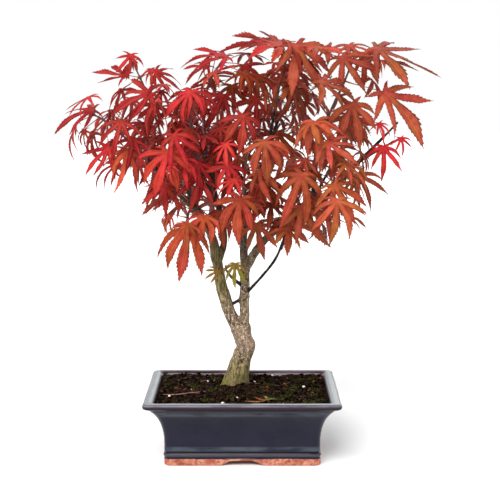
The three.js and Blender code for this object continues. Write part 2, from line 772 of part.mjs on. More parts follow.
function sprayBody(spray) {
  const facing = spurFacing(spray);
  const start = vector(spray.twig[0]).addScaledVector(facing, seatGap);
  const route = [start.toArray(), ...spray.twig.slice(1)];
  const taper = (twigTipRadius - spurRadius) / (route.length - 1);
  const radii = route.map((_, i) => spurRadius + taper * i);
  const pieces = [limbBody(route, radii, twigSides, facing)];
  for (const plan of placedLeaves) {
    if (plan.spray === spray.name) {
      pieces.push(leafBody(plan));
    }
  }
  return surface(joined(pieces));
}

// Assembly

function mesh(name, geometry, colour, roughness) {
  const shaded = geometry.toNonIndexed();
  shaded.computeVertexNormals();
  const piece = new THREE.Mesh(shaded, new THREE.MeshStandardMaterial({ color: colour, roughness }));
  piece.name = name;
  return piece;
}

const plant = new THREE.Group();
plant.add(mesh('pot', potBody(), glaze, 0.2));
for (const [name, side] of [['drainage_screen_left', -1], ['drainage_screen_right', 1]]) {
  const screen = mesh(name, drainageScreen(), screenBlack, 0.6);
  screen.position.set(side * drainOffset, 0, potFloor + seatGap + screenThickness / 2);
  plant.add(screen);
}
plant.add(mesh('soil', soilBody(), darkSoil, 0.95));
plant.add(mesh('trunk', trunkBody(), bark, 0.8));
placeLeaves();
for (const spray of sprays) {
  plant.add(mesh(spray.name, sprayBody(spray), spray.colour, 0.6));
}

// The middle of the whole object's box stands over the origin.
const box = new THREE.Box3().setFromObject(plant, true);
const middle = box.getCenter(new THREE.Vector3());
plant.position.set(-middle.x, -middle.y, 0);

export default plant;
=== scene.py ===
"""A red Japanese maple grown as a bonsai, in its rectangular glazed pot.

The tree is planned in millimetres from the middle of the pot, with the same limbs, sprays, leaves and
seeded draws as the part's own source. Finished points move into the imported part's frame, in metres.
"""

import math

import bpy
import numpy as np
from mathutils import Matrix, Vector, noise


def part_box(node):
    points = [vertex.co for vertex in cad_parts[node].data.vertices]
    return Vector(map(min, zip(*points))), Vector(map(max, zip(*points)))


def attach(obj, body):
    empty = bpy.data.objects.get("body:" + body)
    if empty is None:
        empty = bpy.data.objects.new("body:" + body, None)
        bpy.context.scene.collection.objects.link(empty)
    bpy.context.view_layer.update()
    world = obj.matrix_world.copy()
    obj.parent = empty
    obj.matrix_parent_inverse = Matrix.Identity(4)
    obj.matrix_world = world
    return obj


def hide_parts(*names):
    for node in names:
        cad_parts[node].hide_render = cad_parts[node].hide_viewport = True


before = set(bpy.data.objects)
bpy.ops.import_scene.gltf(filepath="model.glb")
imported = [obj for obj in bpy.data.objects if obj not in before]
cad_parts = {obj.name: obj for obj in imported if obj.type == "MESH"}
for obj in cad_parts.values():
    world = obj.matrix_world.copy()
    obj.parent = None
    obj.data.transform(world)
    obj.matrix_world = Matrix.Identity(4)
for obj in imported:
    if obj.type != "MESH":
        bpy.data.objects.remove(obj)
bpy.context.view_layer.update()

MM = 0.001
DEGREE = math.pi / 180

pot_low, pot_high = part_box("pot")
POT_MIDDLE = np.array([(pot_low.x + pot_high.x) / 2, (pot_low.y + pot_high.y) / 2, pot_low.z])

# Driving dimensions, in millimetres

POT_WIDTH = 190
POT_DEPTH = 140
POT_CORNER = 6
POT_FLOOR = 12
GLAZE_LINE = 7.6
ARCH_WIDTH = 46
ARCH_HEIGHT = 4.8
DRAIN_RADIUS = 7
DRAIN_OFFSET = 36
PANEL_INSET = 6.5
PANEL_HEIGHTS = (15.5, 55)
PANEL_DEPTH = 0.45

SOIL_EDGE = 59.8
SOIL_MOUND = 66
SOIL_GAP = 0.45
SOIL_RAISE = 0.6
TRUNK_FOOT = (-7, 8)

SPUR_BASE_RADIUS = 2.1
SPUR_RADIUS = 1.5
TWIG_TIP_RADIUS = 0.8
STALK_RADIUS = 0.6

# Walls of the pot: height above the ground, and setback from the outer edge of the rim

OUTER_WALL = [
    (0, 20.2), (0.7, 19.3), (2, 19), (7.4, 19), (8, 19.6), (8.8, 19), (10.2, 18.4), (11.6, 18.6),
    (12.4, 19.9), (13.2, 20), (14, 19.2), (20, 19.3), (27, 19.1), (32, 18.5), (37, 17.5), (41, 16.4),
    (44, 15.3), (48, 13.4), (51, 11.5), (54, 9.2), (56, 7.4), (58, 5.8), (59, 5), (59.5, 3.4), (60, 1.8),
    (60.7, 0.6), (61.8, 0.1), (63.4, 0), (64.6, 0.3), (65.4, 1), (65.9, 2.2),
]
RIM_TOP = [(66, 3.6), (66, 5.4), (65.8, 7.2), (65.2, 8.6), (64, 9.5)]
INNER_WALL = [(61, 10.4), (50, 19.4), (38, 25), (POT_FLOOR, 27)]
FOOT_WIDTH = 9
FOOT_RECESS = 5

# Wood of the tree: each limb is a route with a radius at each of its points.

LIMBS = [
    # root stub, flared foot and bent lower trunk, up to the fork
    ([(-7, 8, 28), (-7, 8, 56), (-7, 8, 66), (-5, 8, 78), (-1, 7, 93), (3.5, 6, 105), (1, 6, 114),
      (-2, 6, 123), (-4, 6, 131)],
     [6, 11.6, 13.4, 11.6, 9.6, 8.6, 9.4, 10.2, 8.6]),
    # left stem, running on as the limb to the left
    ([(-3, 6, 118), (-7, 6, 129), (-12, 6, 138), (-17, 5, 153), (-21, 4, 168), (-22.5, 4, 178),
      (-25, 4, 192), (-30, 0, 218), (-41, -4, 239), (-48, -6, 249), (-68, -10, 266), (-78, -14, 281)],
     [7, 6.6, 6.3, 6, 5.8, 5.2, 5.4, 4.4, 3.9, 3.6, 3, 2.4]),
    ([(-25, 4, 190), (-18, 10, 212), (-22, 20, 237), (-30, 28, 266), (-37, 28, 290)],
     [4, 3.4, 3, 2.6, 2.1]),
    # right stem
    ([(-1, 6, 118), (0, 5, 128), (1.8, 4, 137), (1.6, 3, 150), (2.2, 2, 170), (3, 2, 188), (4, 2, 195)],
     [6, 5.6, 5, 4.9, 4.9, 5, 4.2]),
    ([(3, 2, 184), (1, 6, 210), (5, 10, 238), (15, 12, 268), (24, 12, 302)],
     [4.4, 3.6, 3, 2.6, 2.1]),
    ([(3, 2, 184), (13, -4, 203), (20, -8, 213), (41, -14, 233), (67, -14, 250), (93, -8, 266)],
     [4.4, 4.3, 3.8, 3.2, 2.8, 2.1]),
    # bare broken twig that points up to the right
    ([(88, -9, 263), (110, -8, 289), (129, -10, 308), (150, -12, 330)],
     [2, 1.8, 1.6, 1.1]),
    # thin branch that bows out to the right of the right stem
    ([(3, 2, 160), (13, -8, 172), (26, -18, 189), (33, -22, 200), (37, -26, 210)],
     [1.7, 1.6, 1.5, 1.4, 1.4]),
    # dead stub between the stems
    ([(2, 3, 157), (-4, 2, 153), (-10, 3, 149.5)],
     [2.2, 1.9, 1.7]),
]

# Leafy sprays: name, material slot, number of leaves, the spur's points before its tip, and the twig.

SPRAYS = [
    ("far_left", "leaf_crimson", 8, [(-76, -13, 278)],
     [(-92, -18, 296), (-109, -22, 313), (-130, -26, 331), (-142, -25, 338)]),
    ("left_top", "leaf_crimson", 8, [(-66, -10, 264)],
     [(-72, -2, 293), (-84, 4, 332), (-94, 6, 360), (-104, 8, 382)]),
    ("left_front", "leaf_crimson", 7, [(-47, -6, 248)],
     [(-53, -38, 270), (-58, -58, 288), (-63, -76, 306), (-66, -84, 322)]),
    ("left_low", "leaf_vermilion", 4, [(-41, -4, 239)],
     [(-46, -26, 244), (-49, -44, 248), (-50, -60, 246), (-51, -68, 241)]),
    ("left_back", "leaf_crimson", 8, [(-66, -9, 264)],
     [(-84, 22, 277), (-104, 48, 300), (-124, 66, 318), (-134, 72, 328)]),
    ("left_middle", "leaf_crimson", 8, [(-22, 20, 237), (-32, 2, 264)],
     [(-40, -14, 284), (-44, -34, 310), (-48, -46, 330), (-53, -52, 346)]),
    ("top_left", "leaf_crimson", 8, [(-37, 28, 288)],
     [(-36, 25, 312), (-38, 15, 342), (-31, 4, 370), (-20, -4, 387)]),
    ("centre_back", "leaf_crimson", 7, [(-29, 27, 264)],
     [(-30, 52, 288), (-36, 76, 314), (-32, 90, 334)]),
    ("low_back", "leaf_vermilion", 6, [(-41, -4, 239)],
     [(-46, 30, 248), (-54, 54, 256), (-62, 72, 262)]),
    ("centre_front", "leaf_vermilion", 7, [(5, 10, 238)],
     [(3, -28, 256), (2, -54, 274), (4, -72, 296), (8, -80, 316)]),
    ("top", "leaf_vermilion", 7, [(24, 12, 300)],
     [(32, 6, 342), (36, 2, 366), (42, -6, 388), (49, -12, 397)]),
    ("top_back", "leaf_vermilion", 5, [(24, 12, 300)],
     [(36, 40, 330), (48, 58, 352), (60, 68, 370)]),
    ("back", "leaf_vermilion", 6, [(15, 12, 267)],
     [(19, 42, 281), (28, 68, 304), (38, 86, 324)]),
    ("top_right", "leaf_vermilion", 9, [(67, -14, 249), (71, -10, 282)],
     [(73, -5, 312), (86, -8, 342), (98, -12, 369), (106, -12, 390)]),
    ("right_front", "leaf_russet", 7, [(58, -14, 244)],
     [(64, -36, 276), (68, -56, 300), (70, -68, 322), (80, -66, 340)]),
    ("right", "leaf_crimson", 3, [(108, -8, 287)],
     [(118, -14, 296), (130, -20, 303), (144, -15, 311)]),
    ("right_low", "leaf_russet", 6, [(66, -14, 250)],
     [(72, -34, 258), (78, -54, 266), (80, -70, 272), (76, -80, 277)]),
    ("right_back", "leaf_russet", 7, [(66, -14, 250)],
     [(84, 28, 276), (100, 54, 300), (116, 72, 320)]),
    ("right_low_back", "leaf_russet", 6, [(20, -8, 213)],
     [(40, 24, 232), (58, 44, 242), (74, 60, 250)]),
    ("low_centre", "leaf_russet", 5, [(37, -26, 208)],
     [(42, -30, 225), (45, -40, 234), (48, -54, 244), (49, -62, 249)]),
    ("stem", "leaf_yellow_green", 2, [(2, 2, 166)],
     [(-11, -7, 178), (-15, -10, 184), (-16, -11, 188)]),
]

# Each spur from its limb to the foot of its twig, as a route with its radii

SPURS = [
    ([*spur, twig[0]], [SPUR_BASE_RADIUS] * len(spur) + [SPUR_RADIUS])
    for _, _, _, spur, twig in SPRAYS
]

# Leaves that the photograph shows plainly: spray, hub, heading of the middle lobe across the view, its
# lean towards the viewer, the roll about it, the lobe's length, and how far it curls. Angles in degrees.

SHOWN_LEAVES = [
    ("far_left", (-111, -58, 332), -104, 30, 10, 40, 30),
    ("far_left", (-142, -22, 342), -166, 5, 60, 44, 20),
    ("far_left", (-128, -22, 306), -138, 0, 40, 46, 15),
    ("far_left", (-108, -42, 304), -98, 6, 0, 42, 25),
    ("left_top", (-87, -25, 358), -160, 25, 40, 44, 40),
    ("left_top", (-108, 6, 394), -92, 10, -20, 25, 10),
    ("left_top", (-87, -12, 380), -84, 20, 10, 20, 15),
    ("left_top", (-84, 14, 378), -36, 5, -50, 34, 10),
    ("left_top", (-113, 14, 375), 176, -5, 60, 34, 12),
    ("left_front", (-66, -94, 305), -108, 15, 5, 46, 30),
    ("left_front", (-60, -98, 321), -66, 20, -15, 34, 45),
    ("left_low", (-49, -78, 234), -100, 10, 0, 50, 25),
    ("top_left", (-15, -18, 392), 174, 10, 70, 52, 20),
    ("top_left", (-34, -2, 384), -154, 20, 50, 40, 30),
    ("top", (52, -22, 402), -62, 15, -30, 56, 15),
    ("top", (38, -6, 404), 177, 12, 72, 62, 12),
    ("top", (43, 12, 407), 172, -14, 76, 52, 16),
    ("top_right", (127, -20, 400), -22, 12, -60, 64, 12),
    ("top_right", (135, -26, 358), -42, 8, -42, 62, 12),
    ("top_right", (94, -34, 391), -55, 20, -15, 42, 20),
    ("top_right", (119, 4, 394), -60, -10, -20, 36, 15),
    ("top_right", (80, 0, 398), 8, 10, -70, 44, 20),
    ("right_front", (67, -80, 331), -78, 20, -5, 46, 25),
    ("right_front", (101, -66, 348), -76, 15, -15, 44, 20),
    ("right", (134, -30, 307), -88, 15, 0, 34, 15),
    ("right", (152, -18, 315), -72, 10, -10, 20, 20),
    ("right", (110, -36, 281), -60, 20, -20, 38, 20),
    ("right_low", (54, -88, 285), -112, 15, 10, 54, 25),
    ("right_low", (83, -92, 276), -58, 15, -15, 46, 25),
    ("centre_front", (-1, -86, 263), -100, 20, 0, 42, 30),
    ("low_centre", (14, -54, 236), -80, 20, 0, 36, 25),
    ("low_centre", (55, -68, 254), -62, -4, -15, 48, 15),
    ("low_centre", (45, -50, 240), -94, 0, 5, 38, 15),
    ("stem", (-7, -14, 192), -95, 20, 20, 18, 15),
    ("stem", (-24, -15, 186), -150, 20, 20, 16, 20),
]

# Leaves deep in the middle of the canopy, in the visual model alone, in the same terms.

INNER_LEAVES = [
    ("top", (16, 14, 374), -100, -10, 20, 36, 25),
    ("top", (14, 18, 352), -128, 0, 10, 34, 30),
    ("top_left", (2, 10, 384), -62, 0, -20, 34, 25),
    ("top_left", (-10, 18, 364), -84, -5, 0, 36, 25),
    ("centre_front", (16, -36, 276), -84, 5, 0, 40, 25),
    ("back", (36, 50, 318), -96, -10, 10, 38, 20),
    ("left_middle", (-22, -26, 318), -78, 5, -10, 36, 25),
    ("left_top", (-84, -12, 347), -104, 0, 15, 38, 20),
    ("left_middle", (-58, -30, 330), -70, -5, -15, 34, 25),
]

# Lobes of a leaf blade, as parts of the middle lobe's length

LOBE_TURNS = [-122, -75, -37, 0, 37, 75, 122]
LOBE_LENGTHS = [0.36, 0.74, 0.93, 1, 0.93, 0.74, 0.36]
NOTCH_DEPTHS = [0.12, 0.18, 0.2, 0.2, 0.18, 0.12]

# The other leaves are placed by the part's own rule. Angles in degrees.

DRAW_SEED = 13
SEED_STEP = 7919
DRAW_FACTOR = 1664525
DRAW_STEP = 1013904223
DRAW_RANGE = 4294967296
DRAWS = 160
MOST_SHRINK = 0.3
LEAVES_AT_MOST = 20
LEAF_SIZES = (34, 50)
LEAF_BENDS = (12, 42)
LEAF_ROLL = 35
LEAF_SWING = 60
TOP_LEVEL = 365
DROPS = (15, 85)
TOP_DROPS = (0, 45)
CANOPY_CORE = np.array([0, 0, 285.0])

FIRST_STATION = 0.18
STATION_SPAN = 0.8
LAST_STATION = 0.97
LONE_STATION = 0.5
STATION_TWIST = 70
STALK_LENGTHS = (15, 34)
SHOWN_STALK_LENGTH = 0.45
STALK_SWING = 70
FORWARD_PULL = (0, 0.7)
OUTWARD_PULL = (0.1, 0.9)

BLADE_CLEARANCE = 10
OWN_CLEARANCE = 9
WOOD_CLEARANCE = 5
NEAR_MARGIN = 10
WOOD_MARGIN = 15
LEAST_UNDER = 0.25
LEAST_BEHIND = 0.65
MOST_ABOVE = -0.1

# The canopy's outline, in millimetres

LOWEST = 196
LOW_SLOPES = (-0.42, 0.2)
SHOULDER_AT = -48
HIGHEST = (364, 404)
OVERHANG_HEIGHT = 300
FURTHEST_RIGHT = (124, 168)
FURTHEST_LEFT = -166
CANOPY_DEPTH = 118

# Young leaves that fill the canopy from within, in the visual model alone, the last list saying on which
# sprays there are more or fewer of them than usual

YOUNG_LEAVES = 5
YOUNG_SIZES = (20, 38)
YOUNG_STALKS = (9, 30)
YOUNG_PULL = (-0.8, 0.5)
YOUNG_EASE = 0.4
YOUNG_SEED = 500
YOUNG_SPAN = (0.06, 0.9)
MOST_CROWDED = -4
MORE_YOUNG = {
    "centre_front": 7, "centre_back": 4, "back": 5, "low_back": 1, "top": 5, "top_back": 3, "top_left": 3,
    "left_middle": 6, "left_low": -1, "low_centre": 2, "right_front": 3,
}

# Growth of single shown leaves after all are placed, by their hubs

GROWTH = {
    (-7, -14, 192): 1.35,
    (-34, -2, 384): 0.7,
    (-15, -18, 392): 0.86,
    (-128, -22, 306): 0.8,
    (83, -92, 276): 0.88,
}

LOBE_SAMPLES = [0.25, 0.45, 0.65, 0.85, 1]
STALK_PARTS = [0.25, 0.5, 0.75]
WOOD_SAMPLE_STEP = 6
STATION_STEPS = 20
LEAST_STEP = 2

UP = np.array([0, 0, 1.0])


class Draws:
    """Seeded draws, the same numbers on every run."""

    def __init__(self, number):
        self.seed = DRAW_SEED + number * SEED_STEP

    def next(self):
        self.seed = (self.seed * DRAW_FACTOR + DRAW_STEP) % DRAW_RANGE
        return self.seed / DRAW_RANGE

    def between(self, low, high):
        return low + (high - low) * self.next()


def unit(v):
    return v / np.linalg.norm(v)


def turned(normal, axis, angle):
    return normal * math.cos(angle) + np.cross(axis, normal) * math.sin(angle)


def smoothstep(x):
    x = np.clip(x, 0, 1)
    return x * x * (3 - 2 * x)


# Placing the leaves


class Leaf:
    """One leaf: its hub, its middle lobe's direction, its upper face, its size, bend and stalk's foot."""

    def __init__(self, spray, hub, axis, normal, size, bend, station):
        self.spray = spray
        self.hub = hub
        self.axis = axis
        self.face = unit(normal - axis * normal.dot(axis))
        self.side = np.cross(self.face, axis)
        self.size = size
        self.bend = bend
        self.station = station

    def at(self, lobe_turn, distance, sideways, lift):
        """Points of the blade: along a lobe, off its midrib, and off the blade. Takes whole arrays."""
        curl = self.bend * DEGREE * distance / self.size
        radius = self.size / (self.bend * DEGREE)
        out = radius * np.sin(curl) + lift * np.sin(curl)
        drop = radius * (1 - np.cos(curl)) - lift * np.cos(curl)
        angle = np.asarray(lobe_turn) * DEGREE
        along = out * np.cos(angle) - sideways * np.sin(angle)
        across = out * np.sin(angle) + sideways * np.cos(angle)
        return (
            self.hub
            + np.multiply.outer(along, self.axis)
            + np.multiply.outer(across, self.side)
            - np.multiply.outer(drop, self.face)
        )

    def blade_samples(self):
        turns = np.repeat(LOBE_TURNS[1:-1], len(LOBE_SAMPLES))
        parts = np.tile(LOBE_SAMPLES, len(LOBE_TURNS) - 2)
        lengths = np.repeat(LOBE_LENGTHS[1:-1], len(LOBE_SAMPLES)) * self.size
        nothing = np.zeros(len(turns))
        return np.vstack([self.hub, self.at(turns, parts * lengths, nothing, nothing)])

    def stalk_samples(self):
        return np.array([self.hub + (self.station - self.hub) * part for part in STALK_PARTS])

    def stalk_behind(self):
        back = unit(self.hub - self.station)
        rise = back.dot(self.face)
        return rise > LEAST_UNDER or (back.dot(self.axis) > LEAST_BEHIND and rise > MOST_ABOVE)


def along_route(points, part):
    """The point at a part of a route's length, and the route's direction there."""
    points = np.asarray(points, float)
    steps = np.linalg.norm(np.diff(points, axis=0), axis=1)
    rest = part * steps.sum()
    for i, step in enumerate(steps):
        if rest <= step or i + 1 == len(steps):
            direction = unit(points[i + 1] - points[i])
            return points[i] + direction * min(rest, step), direction
        rest -= step


def route_samples(route, radii):
    """Points and radii along a limb, no further apart than the sample step."""
    samples = []
    for i in range(len(route) - 1):
        start = np.array(route[i], float)
        end = np.array(route[i + 1], float)
        count = math.ceil(np.linalg.norm(end - start) / WOOD_SAMPLE_STEP)
        for k in range(count):
            part = k / count
            radius = radii[i] + (radii[i + 1] - radii[i]) * part
            samples.append([*(start + (end - start) * part), radius])
    return samples


def outside_canopy(points):
    """How far each point lies outside the canopy's outline."""
    x, y, z = points.T
    lowest = LOWEST + np.where(x < 0, LOW_SLOPES[0] * x, LOW_SLOPES[1] * x)
    highest = np.where(x < SHOULDER_AT, *HIGHEST)
    right = np.where(z < OVERHANG_HEIGHT, *FURTHEST_RIGHT)
    deep = np.abs(y) - CANOPY_DEPTH
    over = [lowest - z, z - highest, x - right, FURTHEST_LEFT - x, deep, np.zeros(len(x))]
    return np.max(over, axis=0)


def shown_leaf(spray, hub, heading, lean, turn, size, bend):
    """A leaf given by its hub and headings, on the twig's place that suits its stalk best."""
    across = heading * DEGREE
    out = lean * DEGREE
    axis = np.array([math.cos(across) * math.cos(out), -math.sin(out), math.sin(across) * math.cos(out)])
    to_viewer = np.array([0, -1.0, 0])
    to_viewer = unit(to_viewer - axis * to_viewer.dot(axis))
    hub = np.array(hub, float)
    twig = next(row[4] for row in SPRAYS if row[0] == spray)
    wanted = SHOWN_STALK_LENGTH * size
    stations = [
        along_route(twig, step / STATION_STEPS)[0] for step in range(LEAST_STEP, STATION_STEPS + 1)
    ]
    station = min(stations, key=lambda place: abs(np.linalg.norm(place - hub) - wanted))
    return Leaf(spray, hub, axis, turned(to_viewer, axis, turn * DEGREE), size, bend, station)


def leaf_try(draws, spray, station, direction, side_angle, shrink, young):
    """A leaf on that place of its twig, with its stalk, headings, size and curl drawn."""
    level = unit(np.cross(direction, UP))
    steep = np.cross(level, direction)
    angle = (side_angle + draws.between(-STALK_SWING, STALK_SWING)) * DEGREE
    outward = unit(station - CANOPY_CORE)
    stalk = level * math.cos(angle) + steep * math.sin(angle)
    stalk = stalk + direction * draws.between(*FORWARD_PULL)
    stalk = unit(stalk + outward * draws.between(*(YOUNG_PULL if young else OUTWARD_PULL)))
    hub = station + stalk * draws.between(*(YOUNG_STALKS if young else STALK_LENGTHS))

    away = unit(np.array([hub[0], hub[1], 0]))
    facing = turned(away, UP, draws.between(-LEAF_SWING, LEAF_SWING) * DEGREE)
    drop = draws.between(*(TOP_DROPS if hub[2] > TOP_LEVEL else DROPS)) * DEGREE
    axis = facing * math.cos(drop) - UP * math.sin(drop)
    level_face = unit(UP - axis * UP.dot(axis))
    normal = turned(level_face, axis, draws.between(-LEAF_ROLL, LEAF_ROLL) * DEGREE)
    size = draws.between(*(YOUNG_SIZES if young else LEAF_SIZES)) * shrink
    return Leaf(spray, hub, axis, normal, size, draws.between(*LEAF_BENDS), station)


class Placed:
    """The leaves placed so far, and the points that later ones keep clear of."""

    def __init__(self):
        self.leaves = []
        self.blades = np.empty((0, 3))
        self.blade_owners = []
        self.wood = np.empty((0, 4))
        self.wood_owners = []

    def add_wood(self, samples, owner):
        self.wood = np.vstack([self.wood, samples])
        self.wood_owners += [owner] * len(samples)

    def keep(self, leaf):
        self.leaves.append(leaf)
        samples = leaf.blade_samples()
        self.blades = np.vstack([self.blades, samples])
        self.blade_owners += [leaf.spray] * len(samples)
        stalk = leaf.stalk_samples()
        self.add_wood(np.column_stack([stalk, np.full(len(stalk), STALK_RADIUS)]), leaf.spray)

    def near(self, station, spray, ease):
        """What lies near enough to a leaf of this station to matter, with the clearances wanted."""
        reach = STALK_LENGTHS[1] + LEAF_SIZES[1] + BLADE_CLEARANCE + NEAR_MARGIN
        close = np.linalg.norm(self.blades - station, axis=1) < reach
        owners = np.array(self.blade_owners)[close]
        clearances = np.where(owners == spray, OWN_CLEARANCE, BLADE_CLEARANCE) * ease
        close_wood = np.linalg.norm(self.wood[:, :3] - station, axis=1) < reach + WOOD_MARGIN
        foreign = np.array(self.wood_owners)[close_wood] != spray
        return self.blades[close], clearances, self.wood[close_wood], foreign, WOOD_CLEARANCE * ease

    def add(self, number, station, direction, side_angle, seed, young=False):
        """The roomiest leaf of many tries, kept unless it is a young one with too little room."""
        name = SPRAYS[number][0]
        nearby = self.near(station, name, YOUNG_EASE if young else 1)
        draws = Draws(seed)
        best = None
        most_space = -math.inf
        for k in range(DRAWS):
            shrink = 1 - MOST_SHRINK * k / DRAWS
            leaf = leaf_try(draws, name, station, direction, side_angle, shrink, young)
            if not leaf.stalk_behind():
                continue
            space = room(leaf, nearby)
            if space > most_space:
                best = leaf
                most_space = space
            if space >= 0:
                break
        if not young or most_space > MOST_CROWDED:
            self.keep(best)


def distances(points, others):
    return np.linalg.norm(points[:, None] - others[None], axis=2)


def room(leaf, nearby):
    """Room left round a leaf after its clearances, less what lies outside the canopy."""
    blades, clearances, wood, foreign, wood_clearance = nearby
    blade = leaf.blade_samples()
    stalk = leaf.stalk_samples()
    least = -outside_canopy(blade).max()
    if len(blades):
        least = min(least, (distances(blade, blades) - clearances).min())
        least = min(least, distances(stalk, blades).min() - wood_clearance)
    least = min(least, (distances(blade, wood[:, :3]) - wood[:, 3]).min() - wood_clearance)
    if foreign.any():
        others = wood[foreign]
        least = min(least, (distances(stalk, others[:, :3]) - others[:, 3]).min() - wood_clearance)
    return least


def place_leaves():
    """The shown leaves, the part's other leaves, and the inner and young ones of this model alone."""
    placed = Placed()
    for route, radii in LIMBS:
        placed.add_wood(route_samples(route, radii), "")
    for name, _, _, spur, twig in SPRAYS:
        placed.add_wood(route_samples([*spur, twig[0]], [SPUR_RADIUS] * (len(spur) + 1)), "")
        placed.add_wood(route_samples(twig, [1] * len(twig)), name)
    for row in SHOWN_LEAVES:
        placed.keep(shown_leaf(*row))
    for number, (name, _, count, _, twig) in enumerate(SPRAYS):
        wanted = count - sum(row[0] == name for row in SHOWN_LEAVES)
        last_pair = max((wanted - 1) // 2, 1)
        for i in range(wanted):
            pair = i // 2
            part = LONE_STATION if wanted < 2 else FIRST_STATION + STATION_SPAN * pair / last_pair
            station, direction = along_route(twig, min(part, LAST_STATION))
            side_angle = (i % 2) * 180 + pair * STATION_TWIST
            placed.add(number, station, direction, side_angle, number * LEAVES_AT_MOST + i)
    for row in INNER_LEAVES:
        placed.keep(shown_leaf(*row))
    for number, (name, _, _, _, twig) in enumerate(SPRAYS[:-1]):
        for i, part in enumerate(np.linspace(*YOUNG_SPAN, YOUNG_LEAVES + MORE_YOUNG.get(name, 0))):
            station, direction = along_route(twig, part)
            side_angle = (i % 2) * 180 + i * STATION_TWIST
            seed = YOUNG_SEED + number * LEAVES_AT_MOST + i
            placed.add(number, station, direction, side_angle, seed, young=True)
    return placed.leaves


# Meshes

CELL_MARGIN = 0.06


class Skin:
    """Points and faces of one piece, gathered part by part, with the look of each point and corner."""

    def __init__(self):
        self.points = []
        self.marks = []
        self.tones = []
        self.faces = []
        self.corners = []
        self.slots = []
        self.count = 0
        self.cells = 0

    def add(self, points, marks=(0, 0, 0), tone=(1, 1, 1)):
        """Adds points and returns their numbers. A mark is three numbers that the material reads."""
        points = np.asarray(points, float).reshape(-1, 3)
        self.points.append(points)
        self.marks.append(np.broadcast_to(marks, points.shape))
        self.tones.append(np.broadcast_to(tone, points.shape))
        self.count += len(points)
        return np.arange(self.count - len(points), self.count)

    def sheet(self, index, flip=False, slot=0):
        """Quads over a grid of point numbers, with a bake cell of its own. Equal numbers close up."""
        rows, columns = index.shape
        here = np.stack([index[:-1, :-1], index[:-1, 1:], index[1:, 1:], index[1:, :-1]], axis=-1)
        across, along = np.meshgrid(np.linspace(0, 1, columns), np.linspace(0, 1, rows))
        places = np.stack([across, along, np.full(across.shape, self.cells)], axis=-1)
        there = np.stack([places[:-1, :-1], places[:-1, 1:], places[1:, 1:], places[1:, :-1]], axis=2)
        here = here.reshape(-1, 4)
        there = there.reshape(-1, 4, 3)
        if flip:
            here = here[:, ::-1]
            there = there[:, ::-1]
        self.faces.append(here)
        self.corners.append(there)
        self.slots.append(np.full(len(here), slot))
        self.cells += 1

    def shell(self, rings, first, last, tone=(1, 1, 1), slot=0, marks=(0, 0, 0), last_mark=(0, 0, 0)):
        """A closed skin over rings of points, drawn together to one point at either end."""
        rings = np.asarray(rings)
        numbers = self.add(rings, marks, tone).reshape(rings.shape[:2])
        start = np.full(rings.shape[1], self.add(first, tone=tone))
        end = np.full(rings.shape[1], self.add(last, last_mark, tone))
        index = np.vstack([start, numbers, end])
        self.sheet(np.column_stack([index, index[:, :1]]), slot=slot)

    def tube(self, centres, radii, sides, tone=(1, 1, 1), slot=0):
        """Round limb through the centres, closed at both ends."""
        centres = np.asarray(centres, float)
        self.shell(rings_along(centres, radii, sides), centres[0], centres[-1], tone, slot)

    def piece(self, name, materials):
        """The finished object, smooth shaded, riding on the part."""
        points = np.vstack(self.points) * MM + POT_MIDDLE
        faces = np.vstack(self.faces)
        keep = faces != np.roll(faces, 1, axis=1)
        whole = keep.sum(axis=1) > 2
        faces, keep = faces[whole], keep[whole]
        corners = np.vstack(self.corners)[whole]
        loops = faces[keep]
        sizes = keep.sum(axis=1)

        mesh = bpy.data.meshes.new(name)
        mesh.vertices.add(len(points))
        mesh.vertices.foreach_set("co", points.ravel())
        mesh.loops.add(len(loops))
        mesh.loops.foreach_set("vertex_index", loops)
        mesh.polygons.add(len(sizes))
        mesh.polygons.foreach_set("loop_start", np.concatenate([[0], np.cumsum(sizes)[:-1]]))
        mesh.polygons.foreach_set("material_index", np.concatenate(self.slots)[whole])
        mesh.update(calc_edges=True)
        mesh.shade_smooth()

        mark = mesh.attributes.new("mark", "FLOAT_VECTOR", "POINT")
        mark.data.foreach_set("vector", np.vstack(self.marks).ravel())
        tone = mesh.attributes.new("tone", "FLOAT_COLOR", "POINT")
        tones = np.vstack(self.tones)
        tone.data.foreach_set("color", np.column_stack([tones, np.ones(len(tones))]).ravel())

        across = math.ceil(math.sqrt(3 * self.cells))
        down = math.ceil(self.cells / across)
        place = corners[keep]
        cell = place[:, 2].astype(int)
        start = np.column_stack([cell % across, cell // across])
        inside = CELL_MARGIN + (1 - 2 * CELL_MARGIN) * place[:, :2]
        uv = (start + inside) / (across, down)
        mesh.uv_layers.new(name="OFBake").data.foreach_set("uv", uv.ravel())

        for material in materials:
            mesh.materials.append(material)
        made = new_object(name, mesh)
        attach(made, "root")
        return made


def new_object(name, data):
    made = bpy.data.objects.new(name, data)
    bpy.context.collection.objects.link(made)
    return made


def rings_along(centres, radii, sides):
    """A ring of points round each centre, square to the route, without sudden twists."""
    ends = np.vstack([centres[:1], centres, centres[-1:]])
    rings = []
    across = np.array([0.31, 0.95, 0.05])
    angles = np.arange(sides) * 2 * math.pi / sides
    for centre, before, after, radius in zip(centres, ends[:-2], ends[2:], radii):
        along = unit(after - before)
        across = unit(across - along * across.dot(along))
        other = np.cross(along, across)
        ring = np.outer(np.cos(angles), across) + np.outer(np.sin(angles), other)
        rings.append(centre + ring * radius)
    return np.array(rings)


